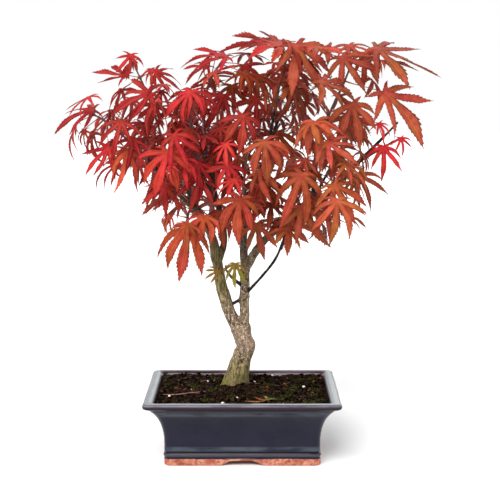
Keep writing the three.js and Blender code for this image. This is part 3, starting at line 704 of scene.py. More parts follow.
def smooth_route(points, radii, step):
    """A finer route and radii through the same points, rounded at each of them."""
    points = np.asarray(points, float)
    ends = np.vstack([2 * points[0] - points[1], points, 2 * points[-1] - points[-2]])
    route = []
    girths = []
    for i in range(len(points) - 1):
        p0, p1, p2, p3 = ends[i : i + 4]
        count = max(2, math.ceil(np.linalg.norm(p2 - p1) / step))
        for k in range(count):
            t = k / count
            curve = 2 * p1 + (p2 - p0) * t + (2 * p0 - 5 * p1 + 4 * p2 - p3) * t**2
            route.append((curve + (3 * p1 - p0 - 3 * p2 + p3) * t**3) / 2)
            blend = t * t * (3 - 2 * t)
            girths.append(radii[i] + (radii[i + 1] - radii[i]) * blend)
    route.append(points[-1])
    girths.append(radii[-1])
    return np.array(route), np.array(girths)


def rough(points, size, seed):
    """Smooth noise between about -1 and 1 at each point, with features of that size."""
    return np.array([noise.noise(Vector(p) / size + Vector((seed, 2 * seed, -seed))) for p in points]) * 2


# Materials

BEND_HEIGHT = 113


class Look:
    """A material and its nodes."""

    def __init__(self, name, roughness, **sockets):
        self.material = bpy.data.materials.new(name)
        self.material.use_nodes = True
        self.nodes = self.material.node_tree.nodes
        self.links = self.material.node_tree.links
        self.shader = self.nodes["Principled BSDF"]
        self.output = self.nodes["Material Output"]
        self.shader.inputs["Roughness"].default_value = roughness
        for socket, value in sockets.items():
            self.shader.inputs[socket.replace("_", " ")].default_value = value
        self.place = self.add("ShaderNodeNewGeometry").outputs["Position"]

    def add(self, kind, inputs=None, **settings):
        node = self.nodes.new(kind)
        for key, value in settings.items():
            setattr(node, key, value)
        for key, value in (inputs or {}).items():
            self.put(node.inputs[key], value)
        return node

    def put(self, socket, value):
        if isinstance(value, bpy.types.NodeSocket):
            self.links.new(value, socket)
        elif isinstance(value, tuple) and len(value) == 3 and len(socket.default_value) == 4:
            socket.default_value = (*value, 1)
        else:
            socket.default_value = value

    def mark(self):
        return self.split(self.add("ShaderNodeAttribute", attribute_name="mark").outputs["Vector"])

    def tone(self):
        return self.add("ShaderNodeAttribute", attribute_name="tone").outputs["Color"]

    def split(self, vector):
        return self.add("ShaderNodeSeparateXYZ", {0: vector}).outputs

    def maths(self, operation, a, b=0.0):
        return self.add("ShaderNodeMath", {0: a, 1: b}, operation=operation).outputs[0]

    def times(self, a, b):
        return self.maths("MULTIPLY", a, b)

    def off(self, value, middle):
        """How far a value is from that middle."""
        return self.maths("ABSOLUTE", self.maths("SUBTRACT", value, middle))

    def noise(self, size, detail=3.0, stretch=None):
        """Noise between 0 and 1 with features of that size in millimetres, longer where stretch is less."""
        place = self.place
        if stretch:
            stretched = self.add("ShaderNodeVectorMath", {0: place, 1: stretch}, operation="MULTIPLY")
            place = stretched.outputs[0]
        inputs = {"Vector": place, "Scale": 1 / (size * MM), "Detail": detail}
        return self.add("ShaderNodeTexNoise", inputs).outputs[0]

    def step(self, value, low, high, out_low=0.0, out_high=1.0):
        """A smooth ramp of a value, from one output to the other."""
        inputs = {"Value": value, "From Min": low, "From Max": high, "To Min": out_low, "To Max": out_high}
        return self.add("ShaderNodeMapRange", inputs, interpolation_type="SMOOTHSTEP").outputs[0]

    def mix(self, share, first, second, blend="MIX"):
        node = self.add("ShaderNodeMix", data_type="RGBA", blend_type=blend)
        self.put(node.inputs[0], share)
        self.put(node.inputs[6], first)
        self.put(node.inputs[7], second)
        return node.outputs[2]

    def over(self, colour, coat, value, low, high, least=0.0, most=1.0, blend="MIX"):
        """A coat over the colour, whose share follows a smooth ramp of a value."""
        return self.mix(self.step(value, low, high, least, most), colour, coat, blend)

    def bump(self, height, depth, below=None):
        """A bump of that depth in millimetres, on top of another."""
        node = self.add("ShaderNodeBump", {"Height": height, "Distance": depth * MM, "Strength": 1.0})
        if below is not None:
            self.put(node.inputs["Normal"], below)
        return node.outputs[0]

    def finish(self, colour, normal):
        self.put(self.shader.inputs["Base Color"], colour)
        self.put(self.shader.inputs["Normal"], normal)
        return self.material


def leaf_look():
    """Leaf blades: the leaf's own tone, paler veins, darker margins and tips, and a pale underside."""
    look = Look("maple_leaf", 0.4, Specular_IOR_Level=0.1)
    across, along, upper = look.mark()
    tone = look.tone()
    off_rib = look.maths("ABSOLUTE", across)
    colour = look.over(tone, (0.9, 1.4, 0.6), look.noise(17, 2), 0.42, 0.68, 0, 0.7, "MULTIPLY")
    colour = look.over(colour, (0.6, 0.4, 0.4), look.noise(6, 4), 0.3, 0.7, 0, 0.7, "MULTIPLY")
    colour = look.over(colour, (1.0, 0.45, 0.3), look.noise(1.6, 2), 0.4, 0.75, 0, 0.35, "SOFT_LIGHT")

    slant = look.maths("SUBTRACT", along, look.times(off_rib, 0.16))
    wave = look.maths("PINGPONG", look.times(slant, 11.0), 0.5)
    side_vein = look.step(wave, 0.0, 0.09, 1.0, 0.0)
    midrib = look.step(off_rib, 0.02, 0.13, 1.0, 0.0)
    vein = look.maths("MAXIMUM", midrib, look.times(side_vein, 0.35))
    colour = look.mix(look.times(vein, 0.5), colour, look.mix(0.5, tone, (0.9, 0.24, 0.14)))

    margin = look.step(off_rib, 0.8, 1.0, 0.0, 0.35)
    tip = look.step(along, 0.82, 1.0, 0.0, 0.55)
    colour = look.mix(look.maths("MAXIMUM", margin, tip), colour, (0.22, 0.026, 0.02))
    colour = look.over(look.mix(0.4, colour, (0.5, 0.12, 0.09)), colour, upper, 0.4, 0.6)
    height = look.maths("ADD", look.times(vein, -0.6), look.noise(1.2, 2))
    look.finish(colour, look.bump(height, 0.12))

    through = look.add("ShaderNodeBsdfTranslucent", {"Color": look.mix(0.5, colour, tone)})
    both = look.add("ShaderNodeMixShader", {0: 0.35, 1: look.shader.outputs[0], 2: through.outputs[0]})
    look.links.new(both.outputs[0], look.output.inputs["Surface"])
    return look.material


def twig_look():
    """Young twigs and leaf stalks: their own tone, with darker streaks."""
    look = Look("young_twig", 0.45)
    streaks = look.noise(2.5, 3, (1, 1, 0.4))
    colour = look.over(look.tone(), (0.05, 0.02, 0.012), streaks, 0.35, 0.7, 0, 0.55)
    return look.finish(colour, look.bump(look.noise(0.9, 3), 0.1))


def bark_look():
    """Old maple bark: streaked grey-brown, a painted highlight at the bend, green with algae, painted shade
    near the soil, dark on thin wood.
    """
    look = Look("maple_bark", 0.8, Specular_IOR_Level=0.2)
    girth, green, moss = look.mark()
    height = look.times(look.split(look.place)[2], 1 / MM)
    blotches = look.noise(8, 5)
    streaks = look.noise(1.8, 5, (1, 1, 0.2))
    flakes = look.noise(1.5, 4, (1, 1, 0.45))
    specks = look.noise(1.4, 3, (0.75, 0.75, 1.3))
    rings = look.noise(5, 3, (0.12, 0.12, 1))
    off_crack = look.off(look.noise(4.5, 3, (1, 1, 0.3)), 0.5)
    cracks = look.times(look.step(off_crack, 0.002, 0.014, 0.85, 0), look.step(blotches, 0.3, 0.5))
    colour = look.over((0.062, 0.04, 0.02), (0.26, 0.18, 0.11), blotches, 0.38, 0.62)
    colour = look.over(colour, (0.34, 0.25, 0.17), streaks, 0.4, 0.64, 0, 0.75)
    # painted highlight: a paler pinkish band round the bend of the trunk
    bend_highlight = look.mix(streaks, (0.26, 0.17, 0.11), (0.52, 0.37, 0.28))
    colour = look.over(colour, bend_highlight, look.off(height, BEND_HEIGHT), 4, 15, 0.65, 0)
    for coat, value, low, high, most in (
        ((0.72, 0.56, 0.44), flakes, 0.53, 0.64, 0.9),
        ((0.022, 0.013, 0.008), specks, 0.5, 0.62, 0.8),
        ((0.04, 0.024, 0.015), rings, 0.6, 0.72, 0.45),
    ):
        colour = look.over(colour, coat, value, low, high, 0, most)
    algae = look.over((0.07, 0.056, 0.014), (0.31, 0.25, 0.09), streaks, 0.35, 0.68)
    colour = look.mix(look.times(green, look.step(blotches, 0.25, 0.55, 0.5, 0.95)), colour, algae)
    # painted shade: darker towards the foot, where the trunk meets the soil
    colour = look.over(colour, (0.07, 0.05, 0.02), height, 64, 84, 0.6, 0)
    tuft = look.mix(look.noise(1.5), (0.05, 0.055, 0.008), (0.26, 0.22, 0.045))
    colour = look.mix(look.times(moss, look.step(specks, 0.3, 0.55)), colour, tuft)
    colour = look.mix(cracks, colour, (0.022, 0.014, 0.009))
    colour = look.over(colour, (0.04, 0.026, 0.017), height, 165, 215, 0, 0.6)
    thin = look.over((0.01, 0.006, 0.005), (0.055, 0.032, 0.024), streaks, 0.4, 0.7)
    colour = look.over(colour, thin, girth, 2.4, 4.4, 1.0, 0.0)
    normal = look.bump(flakes, 0.4, look.bump(streaks, 0.6))
    return look.finish(colour, look.bump(specks, 0.3, normal))


def glaze_look():
    """Glossy navy glaze that thins to teal and violet, with a painted reflection on the pale rim and a
    painted shadow under the lip, over a bare terracotta foot.
    """
    look = Look("navy_glaze", 0.12, Specular_IOR_Level=0.24)
    inside, rim, _ = look.mark()
    x, y, z = look.split(look.place)
    height = look.times(z, 1 / MM)
    across = look.off(x, POT_MIDDLE[0])
    back = look.maths("SUBTRACT", y, POT_MIDDLE[1])
    clouds = look.noise(22, 4)
    drifts = look.noise(9, 4, (0.25, 0.25, 1))

    def band(middle, flat, reach, most):
        """How far the height is within a band, fading over its borders."""
        return look.step(look.off(height, middle), flat, reach, most, 0)

    colour = look.over((0.0045, 0.0045, 0.015), (0.008, 0.0075, 0.021), clouds, 0.3, 0.7)
    teal = look.over((0.016, 0.022, 0.036), (0.05, 0.062, 0.078), drifts, 0.35, 0.65)
    streaky = look.step(drifts, 0.3, 0.6, 0.4, 1)
    for middle, flat, reach, most in ((54, 1.2, 4, 0.75), (16.8, 1, 3, 0.9)):
        colour = look.mix(look.times(band(middle, flat, reach, most), streaky), colour, teal)
    bead = look.mix(drifts, (0.02, 0.03, 0.042), (0.075, 0.06, 0.08))
    for middle, flat, reach, most, coat in (
        (13, 0.6, 1.2, 0.9, (0.008, 0.002, 0.005)),
        (10.7, 0.8, 1.7, 0.85, bead),
        # painted shadow: a near-black band under the lip
        (60, 1.6, 2.4, 1, (0.0015, 0.001, 0.002)),
        (62.9, 0.4, 1.0, 1, (0.028, 0.008, 0.016)),
    ):
        colour = look.mix(band(middle, flat, reach, most), colour, coat)
    lip = look.over((0.05, 0.042, 0.062), (0.13, 0.12, 0.15), drifts, 0.35, 0.65)
    colour = look.over(colour, lip, height, 63.2, 64.4)
    maroon = look.over((0.012, 0.004, 0.007), (0.055, 0.022, 0.032), clouds, 0.35, 0.65)
    colour = look.mix(inside, colour, maroon)
    # painted reflection: the rim's top is pale grey-blue, like bright surroundings mirrored in the glaze
    pale = look.mix(look.noise(2.5, 4), (0.14, 0.165, 0.178), (0.24, 0.262, 0.268))
    colour = look.over(colour, pale, rim, 0.2, 0.8)
    # the far rim is painted dark maroon and violet instead of the painted reflection
    far_rim = look.times(look.step(back, 0.0575, 0.059), look.step(across, 0.0865, 0.0885, 1, 0))
    on_rim = look.times(far_rim, look.step(height, 60, 61.5))
    colour = look.mix(on_rim, colour, look.over(maroon, (0.1, 0.065, 0.085), drifts, 0.4, 0.65))

    line = look.maths("ADD", GLAZE_LINE + 0.1, look.times(look.noise(9, 3), -1.6))
    bare = look.step(look.maths("SUBTRACT", height, line), -0.25, 0.25, 1.0, 0.0)
    clay = look.over((0.33, 0.082, 0.042), (0.6, 0.26, 0.165), look.noise(6, 5), 0.35, 0.7)
    clay = look.over(clay, (0.15, 0.03, 0.021), look.noise(2.2, 4), 0.5, 0.68, 0, 0.7)
    look.put(look.shader.inputs["Roughness"], look.step(bare, 0, 1, 0.12, 0.85))
    normal = look.bump(look.noise(30, 2), 0.35)
    normal = look.bump(look.times(look.noise(1.2, 4), bare), 0.5, normal)
    return look.finish(look.mix(bare, colour, clay), normal)


def grains_look(name, dark, pale, size, roughness=0.9):
    """Small loose matter in two mixed colours."""
    look = Look(name, roughness, Specular_IOR_Level=0.03)
    colour = look.over(dark, pale, look.noise(size, 4), 0.35, 0.7)
    colour = look.mix(1.0, colour, look.tone(), "MULTIPLY")
    return look.finish(colour, look.bump(look.noise(size / 2, 4), 0.4))


def screen_look():
    look = Look("screen_plastic", 0.6)
    colour = look.mix(look.noise(1.5), (0.015, 0.015, 0.014), (0.035, 0.035, 0.033))
    return look.finish(colour, look.bump(look.noise(0.6), 0.05))


# Leaves

JOINED_ROWS = 2
TEETH = 10
YOUNG_TEETH = 7
LEAST_TEETH = 3
COLUMNS = [-1, -0.5, 0, 0.5, 1]
RIB = 2
OUTER_NOTCH = 0.045
LOBE_WIDTH = 0.25
SHOULDER = 0.42
TOOTH_OUT = 0.14
TOOTH_IN = -0.11
TIP_REACH = 1.05
BLADE_HALF = 0.16
HUB_UNDER = 0.55
RIB_DROP = 0.5

# How slender the lobes are and how far they close up, by spray, or else between two values by draw

SLENDER = {
    "far_left": 0.45, "left_back": 0.55, "left_top": 0.7, "left_front": 0.72, "top_left": 0.56,
    "left_low": 0.84, "right": 0.58, "right_low": 0.62, "right_back": 0.68, "right_low_back": 0.64,
    "top_right": 0.7, "low_back": 0.64,
}
SLENDER_DRAWS = (0.74, 1.0)
YOUNG_SLENDER = 0.85
GATHERED = {"left_low": 1.05, "stem": 0.8}
GATHERED_DRAWS = (0.15, 0.6)

# How leaves and their lobes differ by draw, and the rest of a lobe's form

FOLDS = (0.2, 0.8)
STRETCHES = (0.76, 1.0)
SWEEPS = (-0.3, 0.3)
DROOPS = (-0.35, 0.85)
TWISTS = (-1.2, 1.2)
PHASES = (0, 6.28)
HANG_DROOP = 0.35
WAVE = 0.09
WAVE_TURNS = 9
LOBE_TINT = (0.85, 1.5, 0.8)
LOBE_SHADES = (0.8, 1.12)

# Half the gaps between lobes, and where the notch in each of them starts

HALF_GAPS = np.diff([LOBE_TURNS[-1] - 360, *LOBE_TURNS, LOBE_TURNS[0] + 360]) / 2 * DEGREE
NOTCHES = np.array([OUTER_NOTCH, *NOTCH_DEPTHS, OUTER_NOTCH]) * np.cos(HALF_GAPS)


class Lobe:
    """One lobe of the blade, with the gaps to its two neighbours and the notches in them."""

    def __init__(self, number):
        self.turn = LOBE_TURNS[number]
        self.length = LOBE_LENGTHS[number]
        self.gaps = HALF_GAPS[number : number + 2]
        self.starts = NOTCHES[number : number + 2]
        self.middle_start = self.starts.mean()


LOBES = [Lobe(number) for number in range(len(LOBE_TURNS))]


def lobe_grid(lobe, size, slender, stretch, teeth):
    """Distance along and width off the midrib for each row and column, and the row's free part."""
    free_rows = 2 * max(LEAST_TEETH, round(teeth * lobe.length)) + 2
    columns = np.array(COLUMNS)
    reach = np.abs(columns)
    side = (columns > 0).astype(int)
    starts = lobe.middle_start + (lobe.starts[side] - lobe.middle_start) * reach
    length = lobe.length * stretch * TIP_REACH
    joined = np.linspace(0, 1, JOINED_ROWS + 1)[:-1]
    free = np.linspace(0, 1, free_rows + 1)

    base_width = lobe.starts[side] * np.tan(lobe.gaps[side])
    full_width = LOBE_WIDTH * length / 2 * slender
    widths_joined = np.outer(joined, base_width)
    rise = smoothstep(free / SHOULDER) ** 0.8
    fall = np.cos(np.clip((free - SHOULDER) / (1 - SHOULDER), 0, 1) * math.pi / 2) ** 1.7
    before = base_width + (full_width - base_width) * rise[:, None]
    widths = np.where(free[:, None] < SHOULDER, before, full_width * fall[:, None])

    tooth = np.arange(free_rows + 1) % 2
    envelope = np.clip(free / 0.08, 0, 1) * np.clip((1 - free) / 0.1, 0, 1)
    envelope *= 0.8 + 0.35 * np.cos(2.3 * np.arange(free_rows + 1))
    widths *= 1 + (envelope * np.where(tooth == 1, TOOTH_OUT, TOOTH_IN))[:, None] * (reach**4)
    lean = 0.55 * (length - lobe.middle_start) / free_rows * 2
    forward = np.outer(envelope * tooth * lean, reach**4)

    distances_joined = np.outer(joined, starts)
    distances_free = starts + np.outer(free, length - starts) + forward
    distance = np.vstack([distances_joined, distances_free]) * size
    width = np.vstack([widths_joined, widths]) * size
    part = np.concatenate([np.zeros(JOINED_ROWS), free])
    return distance, columns * width, part


def lobe_shape(leaf, lobe, slender, fold, closing, draws):
    """A lobe's points along, across and off the blade, each row's free part, and the lobe's length."""
    stretch = draws.between(*STRETCHES) if lobe.turn else 1.0
    teeth = YOUNG_TEETH if leaf.size < LEAF_SIZES[0] else TEETH
    distance, sideways, part = lobe_grid(lobe, leaf.size, slender, stretch, teeth)
    length = lobe.length * stretch * TIP_REACH * leaf.size
    loose = smoothstep(part / 0.45)[:, None]
    beyond = np.maximum(distance - lobe.middle_start * leaf.size, 0)
    sweep = draws.between(*SWEEPS) - closing * lobe.turn / LOBE_TURNS[-2]
    hang = max(0, -leaf.axis[2])
    droop = draws.between(*DROOPS) + HANG_DROOP * hang * abs(lobe.turn / LOBE_TURNS[-1])
    twist = draws.between(*TWISTS)
    phase = draws.between(*PHASES)
    bow = -droop * beyond**2 / length * 0.5
    turn_lift = sideways * np.tan(twist * part)[:, None]
    crease = fold * np.abs(sideways) * loose
    wave = WAVE * np.abs(sideways) * np.sin(WAVE_TURNS * part + phase)[:, None] * loose
    return distance, sideways + sweep * beyond**2 / length, bow + turn_lift + crease + wave, part, length


def add_leaf(skin, leaf, tone, draws):
    """Blade of one leaf as a thin closed solid, its lobes each with their own sweep, twist and wave."""
    slender = SLENDER.get(leaf.spray, draws.between(*SLENDER_DRAWS))
    if leaf.size < LEAF_SIZES[0]:
        slender *= YOUNG_SLENDER
    fold = draws.between(*FOLDS)
    closing = GATHERED.get(leaf.spray, draws.between(*GATHERED_DRAWS) * max(0, -leaf.axis[2]))
    hubs = [
        skin.add(leaf.at(0, 0.0, 0.0, lift), (0, 0, upper), tone)[0]
        for lift, upper in ((BLADE_HALF, 1), (-HUB_UNDER, 0))
    ]
    shapes = [lobe_shape(leaf, lobe, slender, fold, closing, draws) for lobe in LOBES]

    reach = np.abs(np.array(COLUMNS))
    edge = reach == 1
    upper_half = np.where(edge, 0, BLADE_HALF * np.where(reach == 0, 0.3, 1))
    rib_drop = np.where(reach == 0, RIB_DROP, 0)
    numbers = []
    for lobe, (distance, sideways, lift, part, length) in zip(LOBES, shapes):
        lobe_tone = blend(tone, tone * LOBE_TINT, 0.7 * draws.next() ** 2) * draws.between(*LOBE_SHADES)
        lower_half = np.where(edge, 0, -BLADE_HALF) - np.outer(1 - 0.8 * part, rib_drop)
        pair = []
        for half, upper in ((np.tile(upper_half, (len(part), 1)), 1), (lower_half, 0)):
            half[:JOINED_ROWS] = np.where(edge, BLADE_HALF if upper else -BLADE_HALF, half[:JOINED_ROWS])
            half[-1] = 0
            places = leaf.at(lobe.turn, distance, sideways, lift + half)
            # the mark is the place across and along the lobe, and 1 on the upper face
            across = np.broadcast_to(COLUMNS, lift.shape)
            marks = np.stack([across, distance / length, np.full(lift.shape, upper)], axis=-1)
            pair.append(skin.add(places, marks.reshape(-1, 3), lobe_tone).reshape(lift.shape))
        numbers.append(pair)

    # Neighbouring lobes share the seam between them, and each notch belongs to both faces.
    for i, (top, under) in enumerate(numbers):
        before = numbers[i - 1]
        for face, index in enumerate((top, under)):
            index[0, :] = hubs[face]
            index[1:JOINED_ROWS, 0] = before[face][1:JOINED_ROWS, -1]
        top[JOINED_ROWS, 0] = before[0][JOINED_ROWS, -1]
        under[JOINED_ROWS:, 0] = top[JOINED_ROWS:, 0]
        under[JOINED_ROWS:, -1] = top[JOINED_ROWS:, -1]
        top[-1, :] = top[-1, RIB]
        under[-1, :] = top[-1, RIB]
    for top, under in numbers:
        skin.sheet(top, flip=True)
        skin.sheet(under)


def stalk_curve(leaf, start, draws):
    """A slightly bowed stalk from the twig to the underside of the leaf's hub."""
    end = leaf.hub - leaf.face * 0.35
    span = end - start
    length = np.linalg.norm(span)
    arrive = unit(unit(span) + 0.5 * leaf.axis)
    bow = np.cross(unit(span), leaf.side) * draws.between(-0.04, 0.08) * length
    first = start + span * 0.35 + bow
    second = end - arrive * 0.3 * length + bow * 0.5
    t = np.linspace(0, 1, 10)[:, None]
    return (1 - t) ** 3 * start + 3 * t * (1 - t) ** 2 * first + 3 * t * t * (1 - t) * second + t**3 * end


TONES = {
    "crimson": (0.65, 0.028, 0.046),
    "vermilion": (0.61, 0.1, 0.074),
    "amber": (0.45, 0.11, 0.025),
    "russet": (0.42, 0.095, 0.05),
    "maroon": (0.13, 0.005, 0.008),
    "olive": (0.16, 0.062, 0.01),
    "yellow_green": (0.42, 0.27, 0.06),
    "bright": (0.7, 0.1, 0.06),
}
CANOPY_REACH = np.array([150, 85, 95])
SHADES = (0.7, 1.2)

# Shown leaves with a tone of their own, by their hubs, and whether the drawn shade dims it

OWN_TONES = {
    (-108, -42, 304): ("bright", False),
    (52, -22, 402): ("vermilion", False),
    (67, -80, 331): ("vermilion", False),
    (-49, -78, 234): ("bright", True),
}


def blend(first, second, share):
    return np.array(first) * (1 - share) + np.array(second) * share


def leaf_tone(leaf, draws):
    """The leaf's colour: crimson on the left, orange-red right and below, painted shade deep in the canopy,
    bronze low right.
    """
    middle = leaf.hub + leaf.axis * leaf.size * 0.5
    rightness = (middle[0] + 25) / 125 + draws.between(-0.25, 0.25)
    lowness = 0.9 * (275 - middle[2]) / 60
    warmth = np.clip(max(rightness, lowness), 0, 1)
    # painted shade: leaves deep in the canopy and towards its back are darkened towards maroon or olive
    inside = np.clip(1.3 - np.linalg.norm((middle - CANOPY_CORE) / CANOPY_REACH), 0, 1)
    behind = 0.5 * np.clip((middle[1] - 10) / 70, 0, 1)
    painted_shade_share = max(inside, behind) * draws.between(0.4, 1)
    low = np.clip((290 - middle[2]) / 80, 0, 1) * np.clip((middle[0] + 20) / 100, 0, 1)
    bronzed = low * draws.between(0.1, 0.85)
    painted_shade_tone = TONES["maroon"] if middle[0] < draws.between(-100, 120) else TONES["olive"]
    bronze = TONES["russet"] if draws.next() < 0.6 else TONES["olive"]
    ambered = draws.next() ** 3 * (0.2 + 0.55 * warmth) * np.clip((400 - middle[2]) / 50, 0.1, 1)
    shade = draws.between(*SHADES)
    if tuple(leaf.hub) in OWN_TONES:
        own, shaded = OWN_TONES[tuple(leaf.hub)]
        return np.array(TONES[own]) * (shade if shaded else 1)
    if leaf.spray == "stem":
        return np.array(TONES["yellow_green"])
    if leaf.spray == "right" and leaf.hub[0] > 120:
        return np.array(TONES["crimson"]) * 1.2
    tone = blend(TONES["crimson"], TONES["vermilion"], warmth)
    tone = blend(tone, TONES["amber"], ambered)
    tone = blend(tone, painted_shade_tone, painted_shade_share)
    return blend(tone, bronze, bronzed) * shade


SPRAY_DRAWS = 1000
CRIMSON_TWIG = (0.11, 0.025, 0.018)
OTHER_TWIG = (0.09, 0.04, 0.02)
TWIG_SUNK = 1.5
NODE_SWELL = 1.22
BUD = [(-1, 0.6), (0, 1.05), (1.2, 1.15), (2.6, 0.6), (3.4, 0.1)]
BUD_TONE = (0.3, 0.05, 0.03)
STALK_WIDTHS = ([0, 0.12, 0.25, 0.9, 1], [0.95, 0.75, 0.45, 0.4, 0.5])
STALK_TONE = (0.34, 0.05, 0.035)


def make_spray(number, leaves):
    """A twig with its end bud, the stalks along it and their leaves."""
    name, slot, _, spur, twig = SPRAYS[number]
    draws = Draws(SPRAY_DRAWS + number)
    skin = Skin()
    twig_tone = CRIMSON_TWIG if slot == "leaf_crimson" else OTHER_TWIG
    sunk = np.array(twig[0]) - unit(np.array(twig[0]) - np.array(spur[-1])) * TWIG_SUNK
    taper = np.linspace(SPUR_RADIUS, TWIG_TIP_RADIUS, len(twig))
    route, girths = smooth_route([sunk, *twig[1:]], taper, 3)
    stations = []
    for leaf in leaves:
        nearest = np.argmin(np.linalg.norm(route - leaf.station, axis=1))
        stations.append(nearest)
        girths[nearest] *= NODE_SWELL
    skin.tube(route, girths, 8, tone=twig_tone, slot=1)
    onward = unit(route[-1] - route[-2])
    bud = [route[-1] + onward * reach for reach, _ in BUD]
    skin.tube(bud, [radius for _, radius in BUD], 8, tone=BUD_TONE, slot=1)

    for leaf, station in zip(leaves, stations):
        tone = leaf_tone(leaf, draws)
        stalk = stalk_curve(leaf, route[station], draws)
        thickness = np.interp(np.linspace(0, 1, len(stalk)), *STALK_WIDTHS)
        skin.tube(stalk, thickness, 6, tone=STALK_TONE, slot=1)
        add_leaf(skin, leaf, tone, draws)
    piece = skin.piece(f"foliage_{name}", [leaf_material, twig_material])
    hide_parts(f"spray_{name}")


# Trunk

VOXEL = 0.8
KNOT = (-0.5, -3.5, 91)
SCAR = (10.5, 1, 103)
NUB = [(-13, 5, 142), (-17.5, 4, 145), (-20, 3, 146)]
NUB_RADII = [2, 1.6, 0.9]
COLLARS = [((-20, 4, 163), 7.5), ((2, 3, 157), 7), ((2.6, 2, 183), 7), ((-22.5, 4, 181), 7)]

# Relief of the bark: a factor on heights, which draws features out upwards where it is less than 1, and
# their size, seed and height

BARK_NOISES = [(0.6, 9, 3.1, 0.75), (0.28, 3.2, 7.7, 0.4), (1, 1.5, 1.3, 0.16)]
STOUTEST = 10
LEAST_RELIEF = 0.12

# Surface roots that spread from the flared foot into the soil: heading in degrees, reach and radius. Each
# starts at the same places out from the trunk's middle and above the ground, and tapers alike.

ROOTS = [(200, 15, 3.4), (255, 13, 3.8), (310, 15, 3), (20, 16, 3.6), (100, 15, 3.4)]
ROOT_START = [(7, 74), (11, 68.5)]
ROOT_END_HEIGHT = 63
ROOT_TAPER = [0.8, 1, 0.6]


def wood_girths(points):
    """The radius of the limb that each point lies on, blended where limbs meet."""
    samples = np.vstack([np.column_stack(smooth_route(route, radii, 2)) for route, radii in LIMBS + SPURS])
    radii = samples[:, 3]
    found = []
    for some in np.array_split(points, len(points) // 1000 + 1):
        inside = radii - distances(some, samples[:, :3])
        weights = np.exp((inside - inside.max(axis=1)[:, None]) / 0.7)
        found.append((weights * radii).sum(axis=1) / weights.sum(axis=1))
    return np.concatenate(found)


def applied(piece):
    """The piece's mesh with its modifiers applied, which it then keeps."""
    graph = bpy.context.evaluated_depsgraph_get()
    mesh = bpy.data.meshes.new_from_object(piece.evaluated_get(graph))
    piece.modifiers.clear()
    piece.data = mesh
    return mesh


def bark_relief(points, girths):
    """How far the bark stands out at each point: lumps, ridges, pits, a knot, a scar and collars."""
    relief = sum(
        rough(points * (1, 1, factor), size, seed) * height for factor, size, seed, height in BARK_NOISES
    )
    move = relief * np.clip(girths / STOUTEST, LEAST_RELIEF, 1)
    near_knot = np.linalg.norm(points - KNOT, axis=1)
    move += 0.9 * np.exp(-((near_knot - 4) ** 2) / 3) - 2.0 * np.exp(-(near_knot**2) / 5)
    near_scar = np.linalg.norm(points - SCAR, axis=1)
    move += 1.3 * np.exp(-(near_scar**2) / 10)
    for centre, reach in COLLARS:
        away = np.linalg.norm(points - centre, axis=1)
        level = points[:, 2] - centre[2]
        move += np.where(away < reach + 3, 0.45 * np.exp(-(level**2) / 1.2), 0)
    return move


def make_trunk():
    skin = Skin()
    for limbs, step, sides in ((LIMBS, 2.5, 20), (SPURS, 3, 10)):
        for route, radii in limbs:
            skin.tube(*smooth_route(route, radii, step), sides)
    for angle, reach, radius in ROOTS:
        out = np.array([math.cos(angle * DEGREE), math.sin(angle * DEGREE), 0])
        foot = np.array([*TRUNK_FOOT, 0])
        course = [*ROOT_START, (reach, ROOT_END_HEIGHT)]
        root = [foot + out * away + UP * height for away, height in course]
        skin.tube(*smooth_route(root, [radius * part for part in ROOT_TAPER], 2), 12)
    skin.tube(NUB, NUB_RADII, 10)
    piece = skin.piece("trunk_bark", [bark_material])
    remesh = piece.modifiers.new("join", "REMESH")
    remesh.mode = "VOXEL"
    remesh.voxel_size = VOXEL * MM
    smooth = piece.modifiers.new("smooth", "SMOOTH")
    smooth.factor = 0.5
    smooth.iterations = 5
    mesh = applied(piece)

    points = np.empty(len(mesh.vertices) * 3)
    normals = np.empty(len(mesh.vertices) * 3)
    mesh.vertices.foreach_get("co", points)
    mesh.vertex_normals.foreach_get("vector", normals)
    points = (points.reshape(-1, 3) - POT_MIDDLE) / MM
    girths = wood_girths(points)
    knotted = np.exp(-(np.linalg.norm(points - KNOT, axis=1) ** 2) / 9)
    points = points + normals.reshape(-1, 3) * bark_relief(points, girths)[:, None]
    mesh.vertices.foreach_set("co", (points * MM + POT_MIDDLE).ravel())
    mesh.update()
    mesh.shade_smooth()

    # the mark is the limb's girth, less at the knot so that it darkens, its algae, and moss at its foot
    x, y, z = points.T
    girths = girths * (1 - 0.85 * knotted)
    patches = rough(points, 14, 5.0) * 0.5 + 0.5
    left_stem = smoothstep((-8 - x) / 6) * smoothstep((z - 140) / 30)
    foot = smoothstep((104 - z) / 20)
    green = np.clip(0.95 * left_stem + 0.75 * foot + 0.25 * patches, 0, 1)
    moss = smoothstep((74 - z + 6 * patches) / 8) * smoothstep((-8 - x + 10 * patches) / 8)
    mark = mesh.attributes.get("mark") or mesh.attributes.new("mark", "FLOAT_VECTOR", "POINT")
    mark.data.foreach_set("vector", np.column_stack([girths, green, moss]).ravel())
    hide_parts("trunk")


# Pot

PANEL_SLOPE = 1.2
OUTER_STEP = 1.1
WALL_PLACES = 34
SIDE_START = 25
DRILL_SPAN = (1, 20)
ARCH_FADE = 8
FOOT_BAND = 31


def side_places(half, inset):
    """Places along one side of the pot, closer together at the panel's borders."""
    border = half - inset
    close = [-0.9, -0.45, 0, 0.45, 0.9]
    places = list(np.linspace(-border + 2, border - 2, WALL_PLACES))
    for edge in (-border, border):
        places += [edge + step for step in close]
    return np.array(sorted(places)) / half


